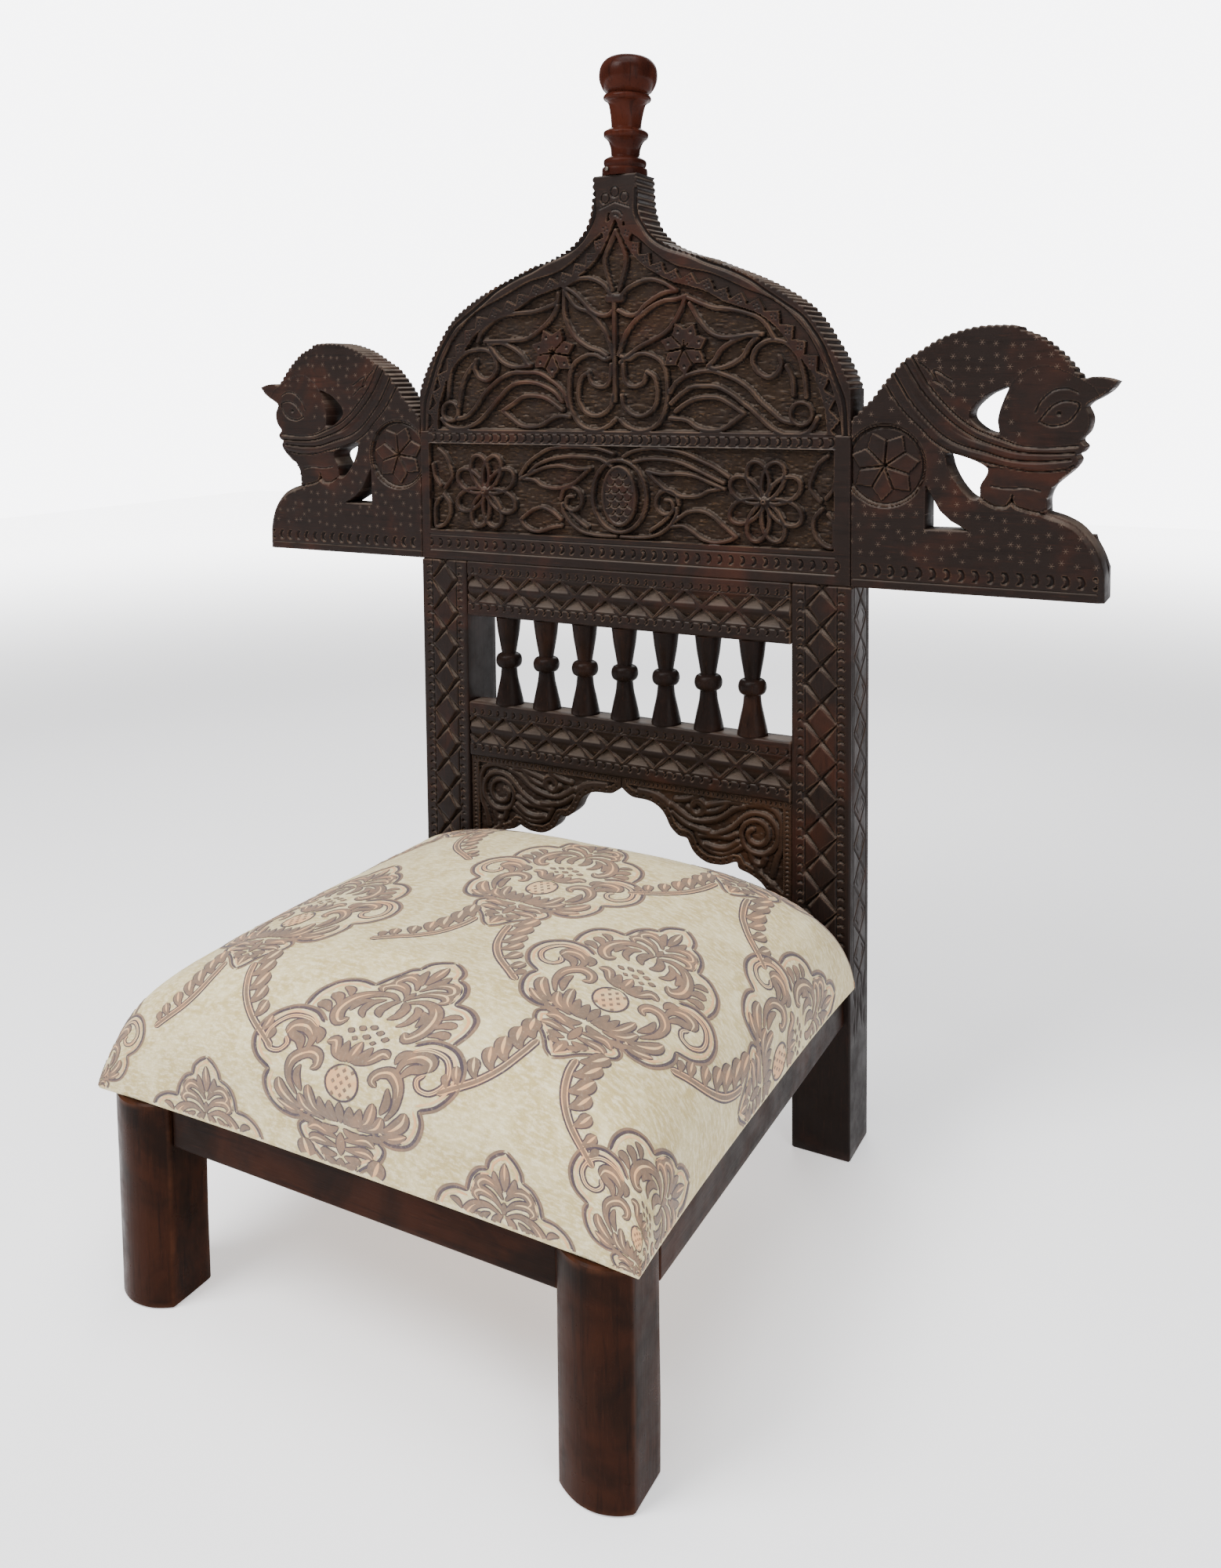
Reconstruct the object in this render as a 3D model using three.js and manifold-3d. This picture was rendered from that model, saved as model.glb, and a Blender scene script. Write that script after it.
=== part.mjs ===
// Low carved chair with a tall openwork back: four legs, a padded seat, a turned gallery,
// two scrolled brackets, and a crest board with an onion dome between two horse heads.
// Millimetres, +Z up, +X to the sitter's left hand seen from the front, the front faces -Y.
// The origin is on the floor, in the middle of the chair's own box.
import * as THREE from 'three';
import * as BufferGeometryUtils from 'three/addons/utils/BufferGeometryUtils.js';
import Module from 'manifold-3d';

const wasm = await Module();
wasm.setup();

// ---------- driving dimensions ----------
const GAP = 0.3; // glue line or clearance left between two pieces that touch
const BACK_HALF_WIDTH = 250; // to the outer faces of the rear posts
const POST = { width: 60, depth: 58, top: 568 };
const LEG = { width: 60, depth: 42, outer: 245, front: -450, bow: 12, top: 176 };
const SEAT_RAIL = { bottom: 138, top: 176, thick: 24, outer: 244 };
const FRONT_RAIL_SETBACK = 3; // behind the legs' front corners
const REAR_RAIL_FRONT = 2; // behind the posts' front faces
const TENON = { thick: 12, height: 24, length: 20 };
const BACK_RAIL = { height: 60.5, depth: 27, tenon: 22 };
const LOWER_BACK_RAIL_BOTTOM = 350;
const UPPER_BACK_RAIL_BOTTOM = 507.5;
const SPINDLE = { count: 7, pitch: 48, pegRadius: 6, pegLength: 10, beadRadius: 14.5 };
const BRACKET = { front: 3, thick: 20 };
const BOARD = { thick: 42, bottom: POST.top + GAP, horseThick: 32 }; // crest board
const CREST_TENON = { width: 34, depth: 16, front: 12, height: 26 };
const FINIAL = { x: 1, tiltDegrees: 3, pegRadius: 8, pegLength: 22 };
const CUSHION = { halfWidth: 255, front: -460, back: -2, bottom: 176.3, crown: 123, rim: 3 };
const CLOTH = 2; // thickness of the cover
const SEAT_BOARD_THICK = 12;
const WRAP = 25; // how far the cover is turned under the seat board
const BLOCK = { bottom: 142, top: 168, strip: 30 };
const CHAIR_MID_Y = (CUSHION.front + POST.depth) / 2; // the part's own middle, front to back

// ---------- colours ----------
const darkWood = { color: 0x2e211d, roughness: 0.5 };
const redWood = { color: 0x4a2a1e, roughness: 0.42 };
const rawWood = { color: 0x8a6a48, roughness: 0.8 };
const steel = { color: 0x77736c, roughness: 0.4, metalness: 1 };
const cloth = { color: 0xd6cbae, roughness: 0.95 };
const foam = { color: 0xe6d9a8, roughness: 1 };
const ply = { color: 0xc7a879, roughness: 0.85 };

const chair = new THREE.Group();

// ---------- solids ----------
const toSolid = (geometry) => {
  const bare = geometry.index ? geometry.toNonIndexed() : geometry.clone();
  for (const name of Object.keys(bare.attributes)) {
    if (name !== 'position') bare.deleteAttribute(name);
  }
  const merged = BufferGeometryUtils.mergeVertices(bare, 1e-4);
  const mesh = new wasm.Mesh({
    numProp: 3,
    vertProperties: new Float32Array(merged.attributes.position.array),
    triVerts: new Uint32Array(merged.index.array),
  });
  return new wasm.Manifold(mesh);
};

const toGeometry = (solid) => {
  const mesh = solid.getMesh();
  const geometry = new THREE.BufferGeometry();
  geometry.setAttribute('position', new THREE.BufferAttribute(mesh.vertProperties, 3));
  geometry.setIndex(new THREE.BufferAttribute(mesh.triVerts, 1));
  geometry.computeVertexNormals();
  return geometry;
};

const box = (x0, x1, y0, y1, z0, z1) => {
  const geometry = new THREE.BoxGeometry(Math.abs(x1 - x0), y1 - y0, z1 - z0);
  geometry.translate((x0 + x1) / 2, (y0 + y1) / 2, (z0 + z1) / 2);
  return toSolid(geometry);
};

// A turned shape about a vertical axis; the profile is [radius, height] pairs, axis to axis.
const turned = (profile, segments) => {
  const points = profile.map(([r, z]) => new THREE.Vector2(r, z));
  const geometry = new THREE.LatheGeometry(points, segments);
  geometry.rotateX(Math.PI / 2);
  return toSolid(geometry);
};

// A board cut to an outline in X and Z, running back from yFront.
const sawn = (shape, yFront, thick, curveSegments = 6) => {
  const geometry = new THREE.ExtrudeGeometry(shape, { depth: thick, bevelEnabled: false, curveSegments });
  geometry.rotateX(Math.PI / 2);
  geometry.translate(0, yFront + thick, 0);
  return toSolid(geometry);
};

// A block with a plan outline in X and Y, standing from z0 to z1.
const upright = (shape, z0, z1, curveSegments = 8) => {
  const geometry = new THREE.ExtrudeGeometry(shape, { depth: z1 - z0, bevelEnabled: false, curveSegments });
  geometry.translate(0, 0, z0);
  return toSolid(geometry);
};

const mirrorX = (solid) => solid.mirror([1, 0, 0]);

const grown = (b) => [b[0] - GAP, b[1] + GAP, b[2] - GAP, b[3] + GAP, b[4] - GAP, b[5] + GAP];

const add = (name, solid, finish) => {
  const mesh = new THREE.Mesh(toGeometry(solid), new THREE.MeshStandardMaterial(finish));
  mesh.name = name;
  chair.add(mesh);
};

// Adds a right-hand piece and its mirror image.
const addPair = (name, solid, finish) => {
  add(`${name}_right`, solid, finish);
  add(`${name}_left`, mirrorX(solid), finish);
};

// ---------- tenons, as boxes, on the +X side ----------
const postInner = BACK_HALF_WIDTH - POST.width;
const legInner = LEG.outer - LEG.width;
const legBack = LEG.front + LEG.depth;
const railMid = (SEAT_RAIL.bottom + SEAT_RAIL.top) / 2;
const tenonZ = [railMid - TENON.height / 2, railMid + TENON.height / 2];
const sideRailMid = SEAT_RAIL.outer - SEAT_RAIL.thick / 2;
const sideTenonX = [sideRailMid - TENON.thick / 2, sideRailMid + TENON.thick / 2];
const frontRailFront = LEG.front + FRONT_RAIL_SETBACK;
const frontRailMid = frontRailFront + SEAT_RAIL.thick / 2;
const rearRailMid = REAR_RAIL_FRONT + SEAT_RAIL.thick / 2;

const tenons = {
  sideRear: [...sideTenonX, -GAP - 1, TENON.length, ...tenonZ],
  sideFront: [...sideTenonX, legBack - TENON.length, legBack + GAP + 1, ...tenonZ],
  front: [
    legInner - GAP - 1, legInner + TENON.length,
    frontRailMid - TENON.thick / 2, frontRailMid + TENON.thick / 2, ...tenonZ,
  ],
  rear: [
    postInner - GAP - 1, postInner + TENON.length,
    rearRailMid - TENON.thick / 2, rearRailMid + TENON.thick / 2, ...tenonZ,
  ],
};

const backRailTenon = (bottom) => [
  postInner - GAP - 1, postInner + BACK_RAIL.tenon,
  BACK_RAIL.depth / 2 - TENON.thick / 2, BACK_RAIL.depth / 2 + TENON.thick / 2,
  bottom + 10, bottom + BACK_RAIL.height - 10,
];

const postX = BACK_HALF_WIDTH - POST.width / 2;
const crestTenon = [
  postX - CREST_TENON.width / 2, postX + CREST_TENON.width / 2,
  CREST_TENON.front, CREST_TENON.front + CREST_TENON.depth,
  POST.top - 1, POST.top + CREST_TENON.height,
];

// ---------- rear posts ----------
const rearPost = () => {
  let post = box(postInner, BACK_HALF_WIDTH, 0, POST.depth, 0, POST.top);
  post = post.add(box(...crestTenon));
  const mortises = [
    tenons.sideRear, tenons.rear,
    backRailTenon(LOWER_BACK_RAIL_BOTTOM), backRailTenon(UPPER_BACK_RAIL_BOTTOM),
  ];
  for (const m of mortises) post = post.subtract(box(...grown(m)));
  return post;
};

// ---------- front legs, with a bowed front ----------
const frontLeg = () => {
  const plan = new THREE.Shape();
  plan.moveTo(legInner, legBack);
  plan.lineTo(legInner, LEG.front);
  plan.quadraticCurveTo(LEG.outer - LEG.width / 2, LEG.front - 2 * LEG.bow, LEG.outer, LEG.front);
  plan.lineTo(LEG.outer, legBack);
  plan.closePath();
  let leg = upright(plan, 0, LEG.top);
  leg = leg.subtract(box(...grown(tenons.sideFront)));
  return leg.subtract(box(...grown(tenons.front)));
};

// ---------- seat rails ----------
const sideRail = () => {
  const body = box(
    SEAT_RAIL.outer - SEAT_RAIL.thick, SEAT_RAIL.outer,
    legBack + GAP, -GAP, SEAT_RAIL.bottom, SEAT_RAIL.top,
  );
  return body.add(box(...tenons.sideRear)).add(box(...tenons.sideFront));
};

const crossRail = (innerX, yFront, tenon) => {
  const half = innerX - GAP;
  const body = box(-half, half, yFront, yFront + SEAT_RAIL.thick, SEAT_RAIL.bottom, SEAT_RAIL.top);
  const end = box(...tenon);
  return body.add(end).add(mirrorX(end));
};

// ---------- back rails with sockets for the spindles ----------
const spindleY = BACK_RAIL.depth / 2;
const spindleX = (i) => (i - (SPINDLE.count - 1) / 2) * SPINDLE.pitch;
const galleryBottom = LOWER_BACK_RAIL_BOTTOM + BACK_RAIL.height;
const galleryTop = UPPER_BACK_RAIL_BOTTOM;

const backRail = (bottom) => {
  const half = postInner - GAP;
  const end = box(...backRailTenon(bottom));
  const body = box(-half, half, 0, BACK_RAIL.depth, bottom, bottom + BACK_RAIL.height);
  return body.add(end).add(mirrorX(end));
};

const socketAt = (x, z0, z1, radius = SPINDLE.pegRadius + GAP, y = spindleY) =>
  turned([[0, z0], [radius, z0], [radius, z1], [0, z1]], 16).translate([x, y, 0]);

const drilled = (rail, z0, z1) => {
  let result = rail;
  for (let i = 0; i < SPINDLE.count; i += 1) result = result.subtract(socketAt(spindleX(i), z0, z1));
  return result;
};

// ---------- spindles: vase, bead, vase ----------
const spindle = () => {
  const low = galleryBottom + GAP;
  const high = galleryTop - GAP;
  const mid = (low + high) / 2;
  const bead = SPINDLE.beadRadius;
  const peg = SPINDLE.pegRadius;
  return turned([
    [0, low - SPINDLE.pegLength + GAP], [peg, low - SPINDLE.pegLength + GAP], [peg, low],
    [15.5, low], [15.2, low + 4], [12.5, low + 16], [9.8, low + 29], [8.6, mid - 9],
    [10.5, mid - 7.5], [bead - 0.8, mid - 4.5], [bead, mid], [bead - 0.8, mid + 4.5], [10, mid + 7.5],
    [7.6, mid + 9], [8.2, mid + 20], [11.4, mid + 33], [13, high - 4], [13.6, high],
    [peg, high], [peg, high + SPINDLE.pegLength - GAP], [0, high + SPINDLE.pegLength - GAP],
  ], 16);
};

// ---------- scrolled brackets under the lower back rail ----------
const bracketTop = LOWER_BACK_RAIL_BOTTOM - GAP;
const DOWEL = { radius: 3, reach: 12, x: [90, 150] };

const bracketShape = () => {
  const shape = new THREE.Shape();
  const outer = postInner - GAP;
  shape.moveTo(GAP / 2, bracketTop);
  shape.lineTo(GAP / 2, 337);
  shape.quadraticCurveTo(9, 328, 31, 330); // flat cusp beside the middle
  shape.quadraticCurveTo(43, 325, 47, 308);
  shape.quadraticCurveTo(53, 298, 66, 297); // first lobe
  shape.quadraticCurveTo(72, 285, 92, 276);
  shape.quadraticCurveTo(112, 270, 131, 279); // second lobe
  shape.lineTo(134, 273);
  shape.quadraticCurveTo(154, 267, 166, 254); // third lobe
  shape.lineTo(172, 253);
  shape.quadraticCurveTo(180, 240, 181, 222);
  shape.quadraticCurveTo(188, 214, outer, 200);
  shape.lineTo(outer, bracketTop);
  shape.closePath();
  return shape;
};

const bracket = () => {
  const dowelY = BRACKET.front + BRACKET.thick / 2;
  let board = sawn(bracketShape(), BRACKET.front, BRACKET.thick);
  for (const x of DOWEL.x) {
    const hole = socketAt(x, bracketTop - DOWEL.reach - 1, bracketTop + 1, DOWEL.radius + GAP, dowelY);
    board = board.subtract(hole);
  }
  return board;
};

// ---------- crest board ----------
const curveThrough = (shape, points) => {
  shape.splineThru(points.map(([x, z]) => new THREE.Vector2(x, z)));
};

const DOME = { blockHalf: 25.5, top: 974, joinX: 249, joinZ: 728 };

// Right half of the dome, from the block on top down to where the horse's mane starts.
const domeSide = [
  [26.5, 942], [36, 918], [58, 899], [96, 881], [146, 862],
  [180, 844], [210, 820], [232, 791], [244, 762], [DOME.joinX, DOME.joinZ],
];

const domeShape = () => {
  const shape = new THREE.Shape();
  const mirrored = domeSide.map(([x, z]) => [-x, z]).reverse();
  shape.moveTo(-DOME.joinX, BOARD.bottom);
  shape.lineTo(DOME.joinX, BOARD.bottom);
  shape.lineTo(DOME.joinX, DOME.joinZ);
  curveThrough(shape, [...domeSide].reverse().slice(1));
  shape.lineTo(DOME.blockHalf, DOME.top);
  shape.lineTo(-DOME.blockHalf, DOME.top);
  shape.lineTo(mirrored[mirrored.length - 1][0], mirrored[mirrored.length - 1][1]);
  curveThrough(shape, [...mirrored].reverse().slice(1));
  shape.closePath();
  return shape;
};

const PLANK = { half: 476, shoulder: 625 };

// The plank below the panel, with a rounded shoulder at its end. Right half.
const plankShape = () => {
  const shape = new THREE.Shape();
  shape.moveTo(-1, BOARD.bottom);
  shape.lineTo(PLANK.half - 1, BOARD.bottom);
  shape.lineTo(PLANK.half, 598);
  shape.quadraticCurveTo(474, 624, 452, 637);
  shape.quadraticCurveTo(440, 643, 426, 647);
  shape.lineTo(400, 650);
  shape.lineTo(360, PLANK.shoulder);
  shape.lineTo(-1, PLANK.shoulder);
  shape.closePath();
  return shape;
};

// Horse with an arched neck, its muzzle tucked down on the plank. Right half.
const horseShape = () => {
  const shape = new THREE.Shape();
  shape.moveTo(230, 600);
  shape.lineTo(230, 716);
  shape.lineTo(255, 730);
  curveThrough(shape, [
    [272, 750], [300, 781], [338, 804], [374, 812], [409, 807], [434, 789], [456, 765],
  ]); // mane
  shape.lineTo(484, 762); // ear
  shape.quadraticCurveTo(481, 752, 463, 742);
  curveThrough(shape, [[462, 730], [453, 709], [457, 702], [449, 694], [451, 689], [437, 678]]); // brow, rope
  curveThrough(shape, [[430, 667], [432, 657], [427, 645]]); // muzzle
  shape.lineTo(420, 600);
  shape.closePath();

  const throat = new THREE.Path(); // between neck and head
  throat.moveTo(393, 756);
  throat.quadraticCurveTo(364, 753, 359, 731);
  throat.quadraticCurveTo(369, 717, 385, 715);
  throat.quadraticCurveTo(382, 735, 393, 756);
  const chest = new THREE.Path(); // between bridle rope, muzzle and chest
  chest.moveTo(341, 698);
  chest.lineTo(341, 683);
  chest.quadraticCurveTo(352, 656, 371, 657);
  chest.quadraticCurveTo(366, 671, 374, 686);
  chest.quadraticCurveTo(357, 689, 341, 698);
  chest.closePath();
  const notch = new THREE.Path(); // beside the fore leg
  notch.moveTo(317, 625.5);
  notch.lineTo(360, 626.5);
  notch.quadraticCurveTo(329, 643, 320, 668);
  notch.closePath();
  shape.holes.push(throat, chest, notch);
  return shape;
};

const boardMidY = BOARD.thick / 2;

const crestBoard = () => {
  let board = sawn(domeShape(), 0, BOARD.thick, 8);
  const plank = sawn(plankShape(), 0, BOARD.thick, 6);
  const horse = sawn(horseShape(), 0, BOARD.horseThick, 4);
  board = board.add(plank).add(mirrorX(plank));
  board = board.add(horse).add(mirrorX(horse));
  const mortise = box(...grown(crestTenon));
  board = board.subtract(mortise).subtract(mirrorX(mortise));
  const peg = socketAt(
    FINIAL.x, DOME.top - FINIAL.pegLength - 1, DOME.top + 1, FINIAL.pegRadius + GAP, boardMidY,
  );
  return board.subtract(peg);
};

// ---------- finial, slightly out of plumb, and the pin through its foot ----------
const finialBase = DOME.top + GAP;
const pinAngle = THREE.MathUtils.degToRad(-18.7); // from straight ahead
const PIN = { headRadius: 2.4, radius: 1.1, outer: 24.6, head: 1, inner: 11, z: finialBase + 6 };

const finialTurning = () => turned([
  [0, -6], [23.5, -6], [23.5, 7], [21.2, 9.5], [22, 13], [21, 17], [14.6, 20.5],
  [15.4, 28], [17.5, 34], [19.5, 37], [22.6, 39.5], [23, 42], [22.6, 44.5], [18, 47.5],
  [15.4, 49.5], [16.4, 60], [18.6, 71], [20.5, 74.5], [24.2, 77], [24.6, 79], [23.6, 81.5],
  [21, 83], [25.5, 87], [29, 94.5], [30, 101.5], [28.5, 110], [23, 117.5], [12, 121.3], [0, 122],
], 28);

const pinAlong = (radiusProfile) => turned(radiusProfile, 12)
  .rotate([90, 0, 0]) // the lathe axis now points along -Y, out of the front
  .rotate([0, 0, THREE.MathUtils.radToDeg(pinAngle)])
  .translate([FINIAL.x, boardMidY, PIN.z]);

const finial = () => {
  let body = finialTurning().rotate([0, FINIAL.tiltDegrees, 0]).translate([FINIAL.x, boardMidY, finialBase]);
  body = body.subtract(box(-60, 60, -60, 100, finialBase - 30, finialBase));
  const z0 = DOME.top - FINIAL.pegLength;
  const peg = turned([
    [0, z0], [FINIAL.pegRadius, z0], [FINIAL.pegRadius, finialBase + 1], [0, finialBase + 1],
  ], 16);
  body = body.add(peg.translate([FINIAL.x, boardMidY, 0]));
  const hole = PIN.radius + GAP;
  return body.subtract(pinAlong([[0, PIN.inner - GAP], [hole, PIN.inner - GAP], [hole, 40], [0, 40]]));
};

const finialPin = () => pinAlong([
  [0, PIN.inner], [PIN.radius, PIN.inner + 2], [PIN.radius, PIN.outer], [PIN.headRadius, PIN.outer],
  [PIN.headRadius, PIN.outer + PIN.head], [0, PIN.outer + PIN.head + 0.5],
]);

// ---------- seat pad ----------
const padMidY = (CUSHION.front + CUSHION.back) / 2;
const padHalfY = (CUSHION.back - CUSHION.front) / 2;
const GRID = 18;
const SIDE_ROUND = { power: 2.3, root: 3.5 };
const FRONT_ROUND = { power: 10, root: 1.7 };
const BACK_ROUND = { power: 11, root: 2.4 };

// Height share of the crown at u = -1 (edge) .. 0 (middle) .. 1 (edge).
const crown = (u, round) => Math.pow(Math.max(0, 1 - Math.pow(Math.abs(u), round.power)), 1 / round.root);

// A crowned pad, `inset` smaller all round, standing on a flat bottom at z = bottom.
const pad = (inset, bottom) => {
  const halfX = CUSHION.halfWidth - inset;
  const halfY = padHalfY - inset;
  const rimTop = CUSHION.bottom + CUSHION.rim + inset;
  const high = CUSHION.crown - 2 * inset;
  const at = (i, j) => {
    const u = Math.sin((i / GRID - 0.5) * Math.PI);
    const v = Math.sin((j / GRID - 0.5) * Math.PI);
    const lift = crown(u, SIDE_ROUND) * crown(v, v > 0 ? BACK_ROUND : FRONT_ROUND);
    return [u * halfX, padMidY + v * halfY, rimTop + high * lift];
  };
  const position = [];
  const triangle = (a, b, c) => position.push(...a, ...b, ...c);
  for (let i = 0; i < GRID; i += 1) {
    for (let j = 0; j < GRID; j += 1) {
      triangle(at(i, j), at(i + 1, j), at(i + 1, j + 1));
      triangle(at(i, j), at(i + 1, j + 1), at(i, j + 1));
    }
  }
  const edge = []; // anticlockwise, seen from above
  for (let i = 0; i < GRID; i += 1) edge.push(at(i, 0));
  for (let j = 0; j < GRID; j += 1) edge.push(at(GRID, j));
  for (let i = GRID; i > 0; i -= 1) edge.push(at(i, GRID));
  for (let j = GRID; j > 0; j -= 1) edge.push(at(0, j));
  const middle = [0, padMidY, bottom];
  edge.forEach((p, k) => {
    const q = edge[(k + 1) % edge.length];
    const pLow = [p[0], p[1], bottom];
    const qLow = [q[0], q[1], bottom];
    triangle(p, pLow, qLow);
    triangle(p, qLow, q);
    triangle(middle, qLow, pLow);
  });
  const geometry = new THREE.BufferGeometry();
  geometry.setAttribute('position', new THREE.Float32BufferAttribute(position, 3));
  return toSolid(geometry);
};

const boardBottom = CUSHION.bottom + CLOTH + GAP;
const boardTop = boardBottom + SEAT_BOARD_THICK;
const boardInset = CLOTH + GAP + 3;

const seatCover = () => {
  const hollow = pad(CLOTH, CUSHION.bottom + CLOTH);
  const opening = box(
    -CUSHION.halfWidth + WRAP, CUSHION.halfWidth - WRAP,
    CUSHION.front + WRAP, CUSHION.back - WRAP, CUSHION.bottom - 5, boardBottom,
  );
  return pad(0, CUSHION.bottom).subtract(hollow).subtract(opening);
};

const SCREW = { headRadius: 4.5, head: 3, radius: 2.2, top: boardTop - 3 };

// Where the seat screws go through the corner blocks, on the +X side.
const screwPlaces = { front: [186, -374], rear: [198, -31] };
const blockPlans = {
  front: [[138, -423], [168, -423], [220, -371], [220, -341]],
  rear: [[220, -66], [220, -36], [182, 2], [152, 2]],
};

const screwHole = ([x, y]) =>
  socketAt(x, BLOCK.bottom - 5, SCREW.top + GAP, SCREW.radius + GAP, y);

const seatBoard = () => {
  let board = box(
    -CUSHION.halfWidth + boardInset, CUSHION.halfWidth - boardInset,
    CUSHION.front + boardInset, CUSHION.back - boardInset, boardBottom, boardTop,
  );
  for (const place of Object.values(screwPlaces)) {
    const hole = screwHole(place);
    board = board.subtract(hole).subtract(mirrorX(hole));
  }
  return board;
};

const seatFoam = () => {
  const body = pad(CLOTH + GAP, CUSHION.bottom);
  return body.subtract(box(-300, 300, CUSHION.front - 9, CUSHION.back + 9, 0, boardTop + GAP));
};

// ---------- corner blocks and seat screws ----------
const cornerBlock = (which) => {
  const shape = new THREE.Shape(blockPlans[which].map(([x, y]) => new THREE.Vector2(x, y)));
  const frame = [
    box(SEAT_RAIL.outer - SEAT_RAIL.thick - GAP, 300, -600, 200, 0, 300),
    box(-300, 300, -600, frontRailFront + SEAT_RAIL.thick + GAP, 0, 300),
    box(-300, 300, REAR_RAIL_FRONT - GAP, 200, 0, 300),
  ];
  let block = upright(shape, BLOCK.bottom, BLOCK.top);
  for (const side of frame) block = block.subtract(side);
  return block.subtract(screwHole(screwPlaces[which]));
};

const seatScrew = ([x, y]) => {
  const under = BLOCK.bottom - GAP;
  return turned([
    [0, under - SCREW.head], [SCREW.headRadius, under - SCREW.head], [SCREW.headRadius, under],
    [SCREW.radius, under], [SCREW.radius, SCREW.top - 3], [0, SCREW.top],
  ], 12).translate([x, y, 0]);
};

// ---------- the chair ----------
addPair('rear_post', rearPost(), darkWood);
addPair('front_leg', frontLeg(), redWood);
addPair('side_seat_rail', sideRail(), redWood);
add('front_seat_rail', crossRail(legInner, frontRailFront, tenons.front), redWood);
add('rear_seat_rail', crossRail(postInner, REAR_RAIL_FRONT, tenons.rear), redWood);

const dowelHoles = (rail) => {
  let result = rail;
  const y = BRACKET.front + BRACKET.thick / 2;
  for (const x of DOWEL.x) {
    for (const side of [-x, x]) {
      const z0 = LOWER_BACK_RAIL_BOTTOM - 1;
      const z1 = LOWER_BACK_RAIL_BOTTOM + DOWEL.reach + 1;
      result = result.subtract(socketAt(side, z0, z1, DOWEL.radius + GAP, y));
    }
  }
  return result;
};

const lowerRail = drilled(
  backRail(LOWER_BACK_RAIL_BOTTOM), galleryBottom - SPINDLE.pegLength - 1, galleryBottom + 1,
);
const upperRail = drilled(
  backRail(UPPER_BACK_RAIL_BOTTOM), galleryTop - 1, galleryTop + SPINDLE.pegLength + 1,
);
add('lower_back_rail', dowelHoles(lowerRail), darkWood);
add('upper_back_rail', upperRail, darkWood);
const spindleSolid = spindle();
for (let i = 0; i < SPINDLE.count; i += 1) {
  add(`spindle_${i + 1}`, spindleSolid.translate([spindleX(i), spindleY, 0]), darkWood);
}

addPair('scroll_bracket', bracket(), darkWood);
DOWEL.x.forEach((x, i) => {
  const z0 = bracketTop - DOWEL.reach;
  const z1 = LOWER_BACK_RAIL_BOTTOM + DOWEL.reach;
  const y = BRACKET.front + BRACKET.thick / 2;
  addPair(`bracket_dowel_${i + 1}`, socketAt(x, z0, z1, DOWEL.radius, y), rawWood);
});

add('crest_board', crestBoard(), darkWood);
add('finial', finial(), redWood);
add('finial_pin', finialPin(), steel);

add('seat_board', seatBoard(), ply);
add('seat_foam', seatFoam(), foam);
add('seat_cover', seatCover(), cloth);
for (const which of ['front', 'rear']) {
  addPair(`corner_block_${which}`, cornerBlock(which), rawWood);
  addPair(`seat_screw_${which}`, seatScrew(screwPlaces[which]), steel);
}

chair.position.y = -CHAIR_MID_Y;

export default chair;
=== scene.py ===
import math

import bmesh
import bpy
import numpy as np
from mathutils import Matrix, Vector
from mathutils.geometry import delaunay_2d_cdt
from mathutils.kdtree import KDTree


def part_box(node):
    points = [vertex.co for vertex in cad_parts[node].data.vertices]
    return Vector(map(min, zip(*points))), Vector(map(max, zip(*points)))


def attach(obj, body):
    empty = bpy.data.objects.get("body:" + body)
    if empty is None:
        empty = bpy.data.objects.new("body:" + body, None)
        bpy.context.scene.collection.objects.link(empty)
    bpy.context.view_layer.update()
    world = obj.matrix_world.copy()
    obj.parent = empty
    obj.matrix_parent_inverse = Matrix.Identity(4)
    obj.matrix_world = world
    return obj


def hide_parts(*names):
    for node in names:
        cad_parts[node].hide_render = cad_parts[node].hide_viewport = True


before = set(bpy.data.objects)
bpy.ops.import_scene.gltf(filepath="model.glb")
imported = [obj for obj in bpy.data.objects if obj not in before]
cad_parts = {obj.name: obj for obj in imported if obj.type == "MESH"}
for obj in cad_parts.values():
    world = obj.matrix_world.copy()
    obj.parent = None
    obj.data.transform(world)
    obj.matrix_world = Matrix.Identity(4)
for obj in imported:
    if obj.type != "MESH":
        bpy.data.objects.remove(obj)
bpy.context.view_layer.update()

# The chair's own frame, in millimetres: x and z as in the row, y = 0 on the front plane of the back.
MM = 0.001
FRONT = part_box("crest_board")[0].y / MM
JOINT_GAP = 0.3  # left between pieces that meet
TOP_OF_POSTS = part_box("crest_board")[0].z / MM - JOINT_GAP
CREST_FOOT = TOP_OF_POSTS + JOINT_GAP
SIDES = (("right", 1), ("left", -1))


def to_row(points):
    """Chair-frame millimetres to row-frame metres."""
    return (np.asarray(points, float) + [0, FRONT, 0]) * MM


def node_box(name):
    """(lowest, highest) corner of a CAD node in the chair's own frame."""
    low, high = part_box(name)
    shift = np.array([0, FRONT, 0])
    return np.array(low) / MM - shift, np.array(high) / MM - shift


# ---------- curves in a plane ----------
def smooth(points, step=2.5, closed=False):
    """A round curve through the points, sampled about every step millimetres."""
    p = np.array(points, float)
    if closed:
        p = np.vstack([p[-1], p, p[0], p[1]])
    else:
        p = np.vstack([2 * p[0] - p[1], p, 2 * p[-1] - p[-2]])
    out = []
    for a, b, c, d in zip(p[:-3], p[1:-2], p[2:-1], p[3:]):
        n = max(1, round(np.linalg.norm(c - b) / step))
        t = np.arange(n)[:, None] / n
        out.append(0.5 * (2 * b + (c - a) * t + (2 * a - 5 * b + 4 * c - d) * t**2
                          + (3 * b - a - 3 * c + d) * t**3))
    if not closed:
        out.append(p[-2:-1])
    return np.vstack(out)


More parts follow.
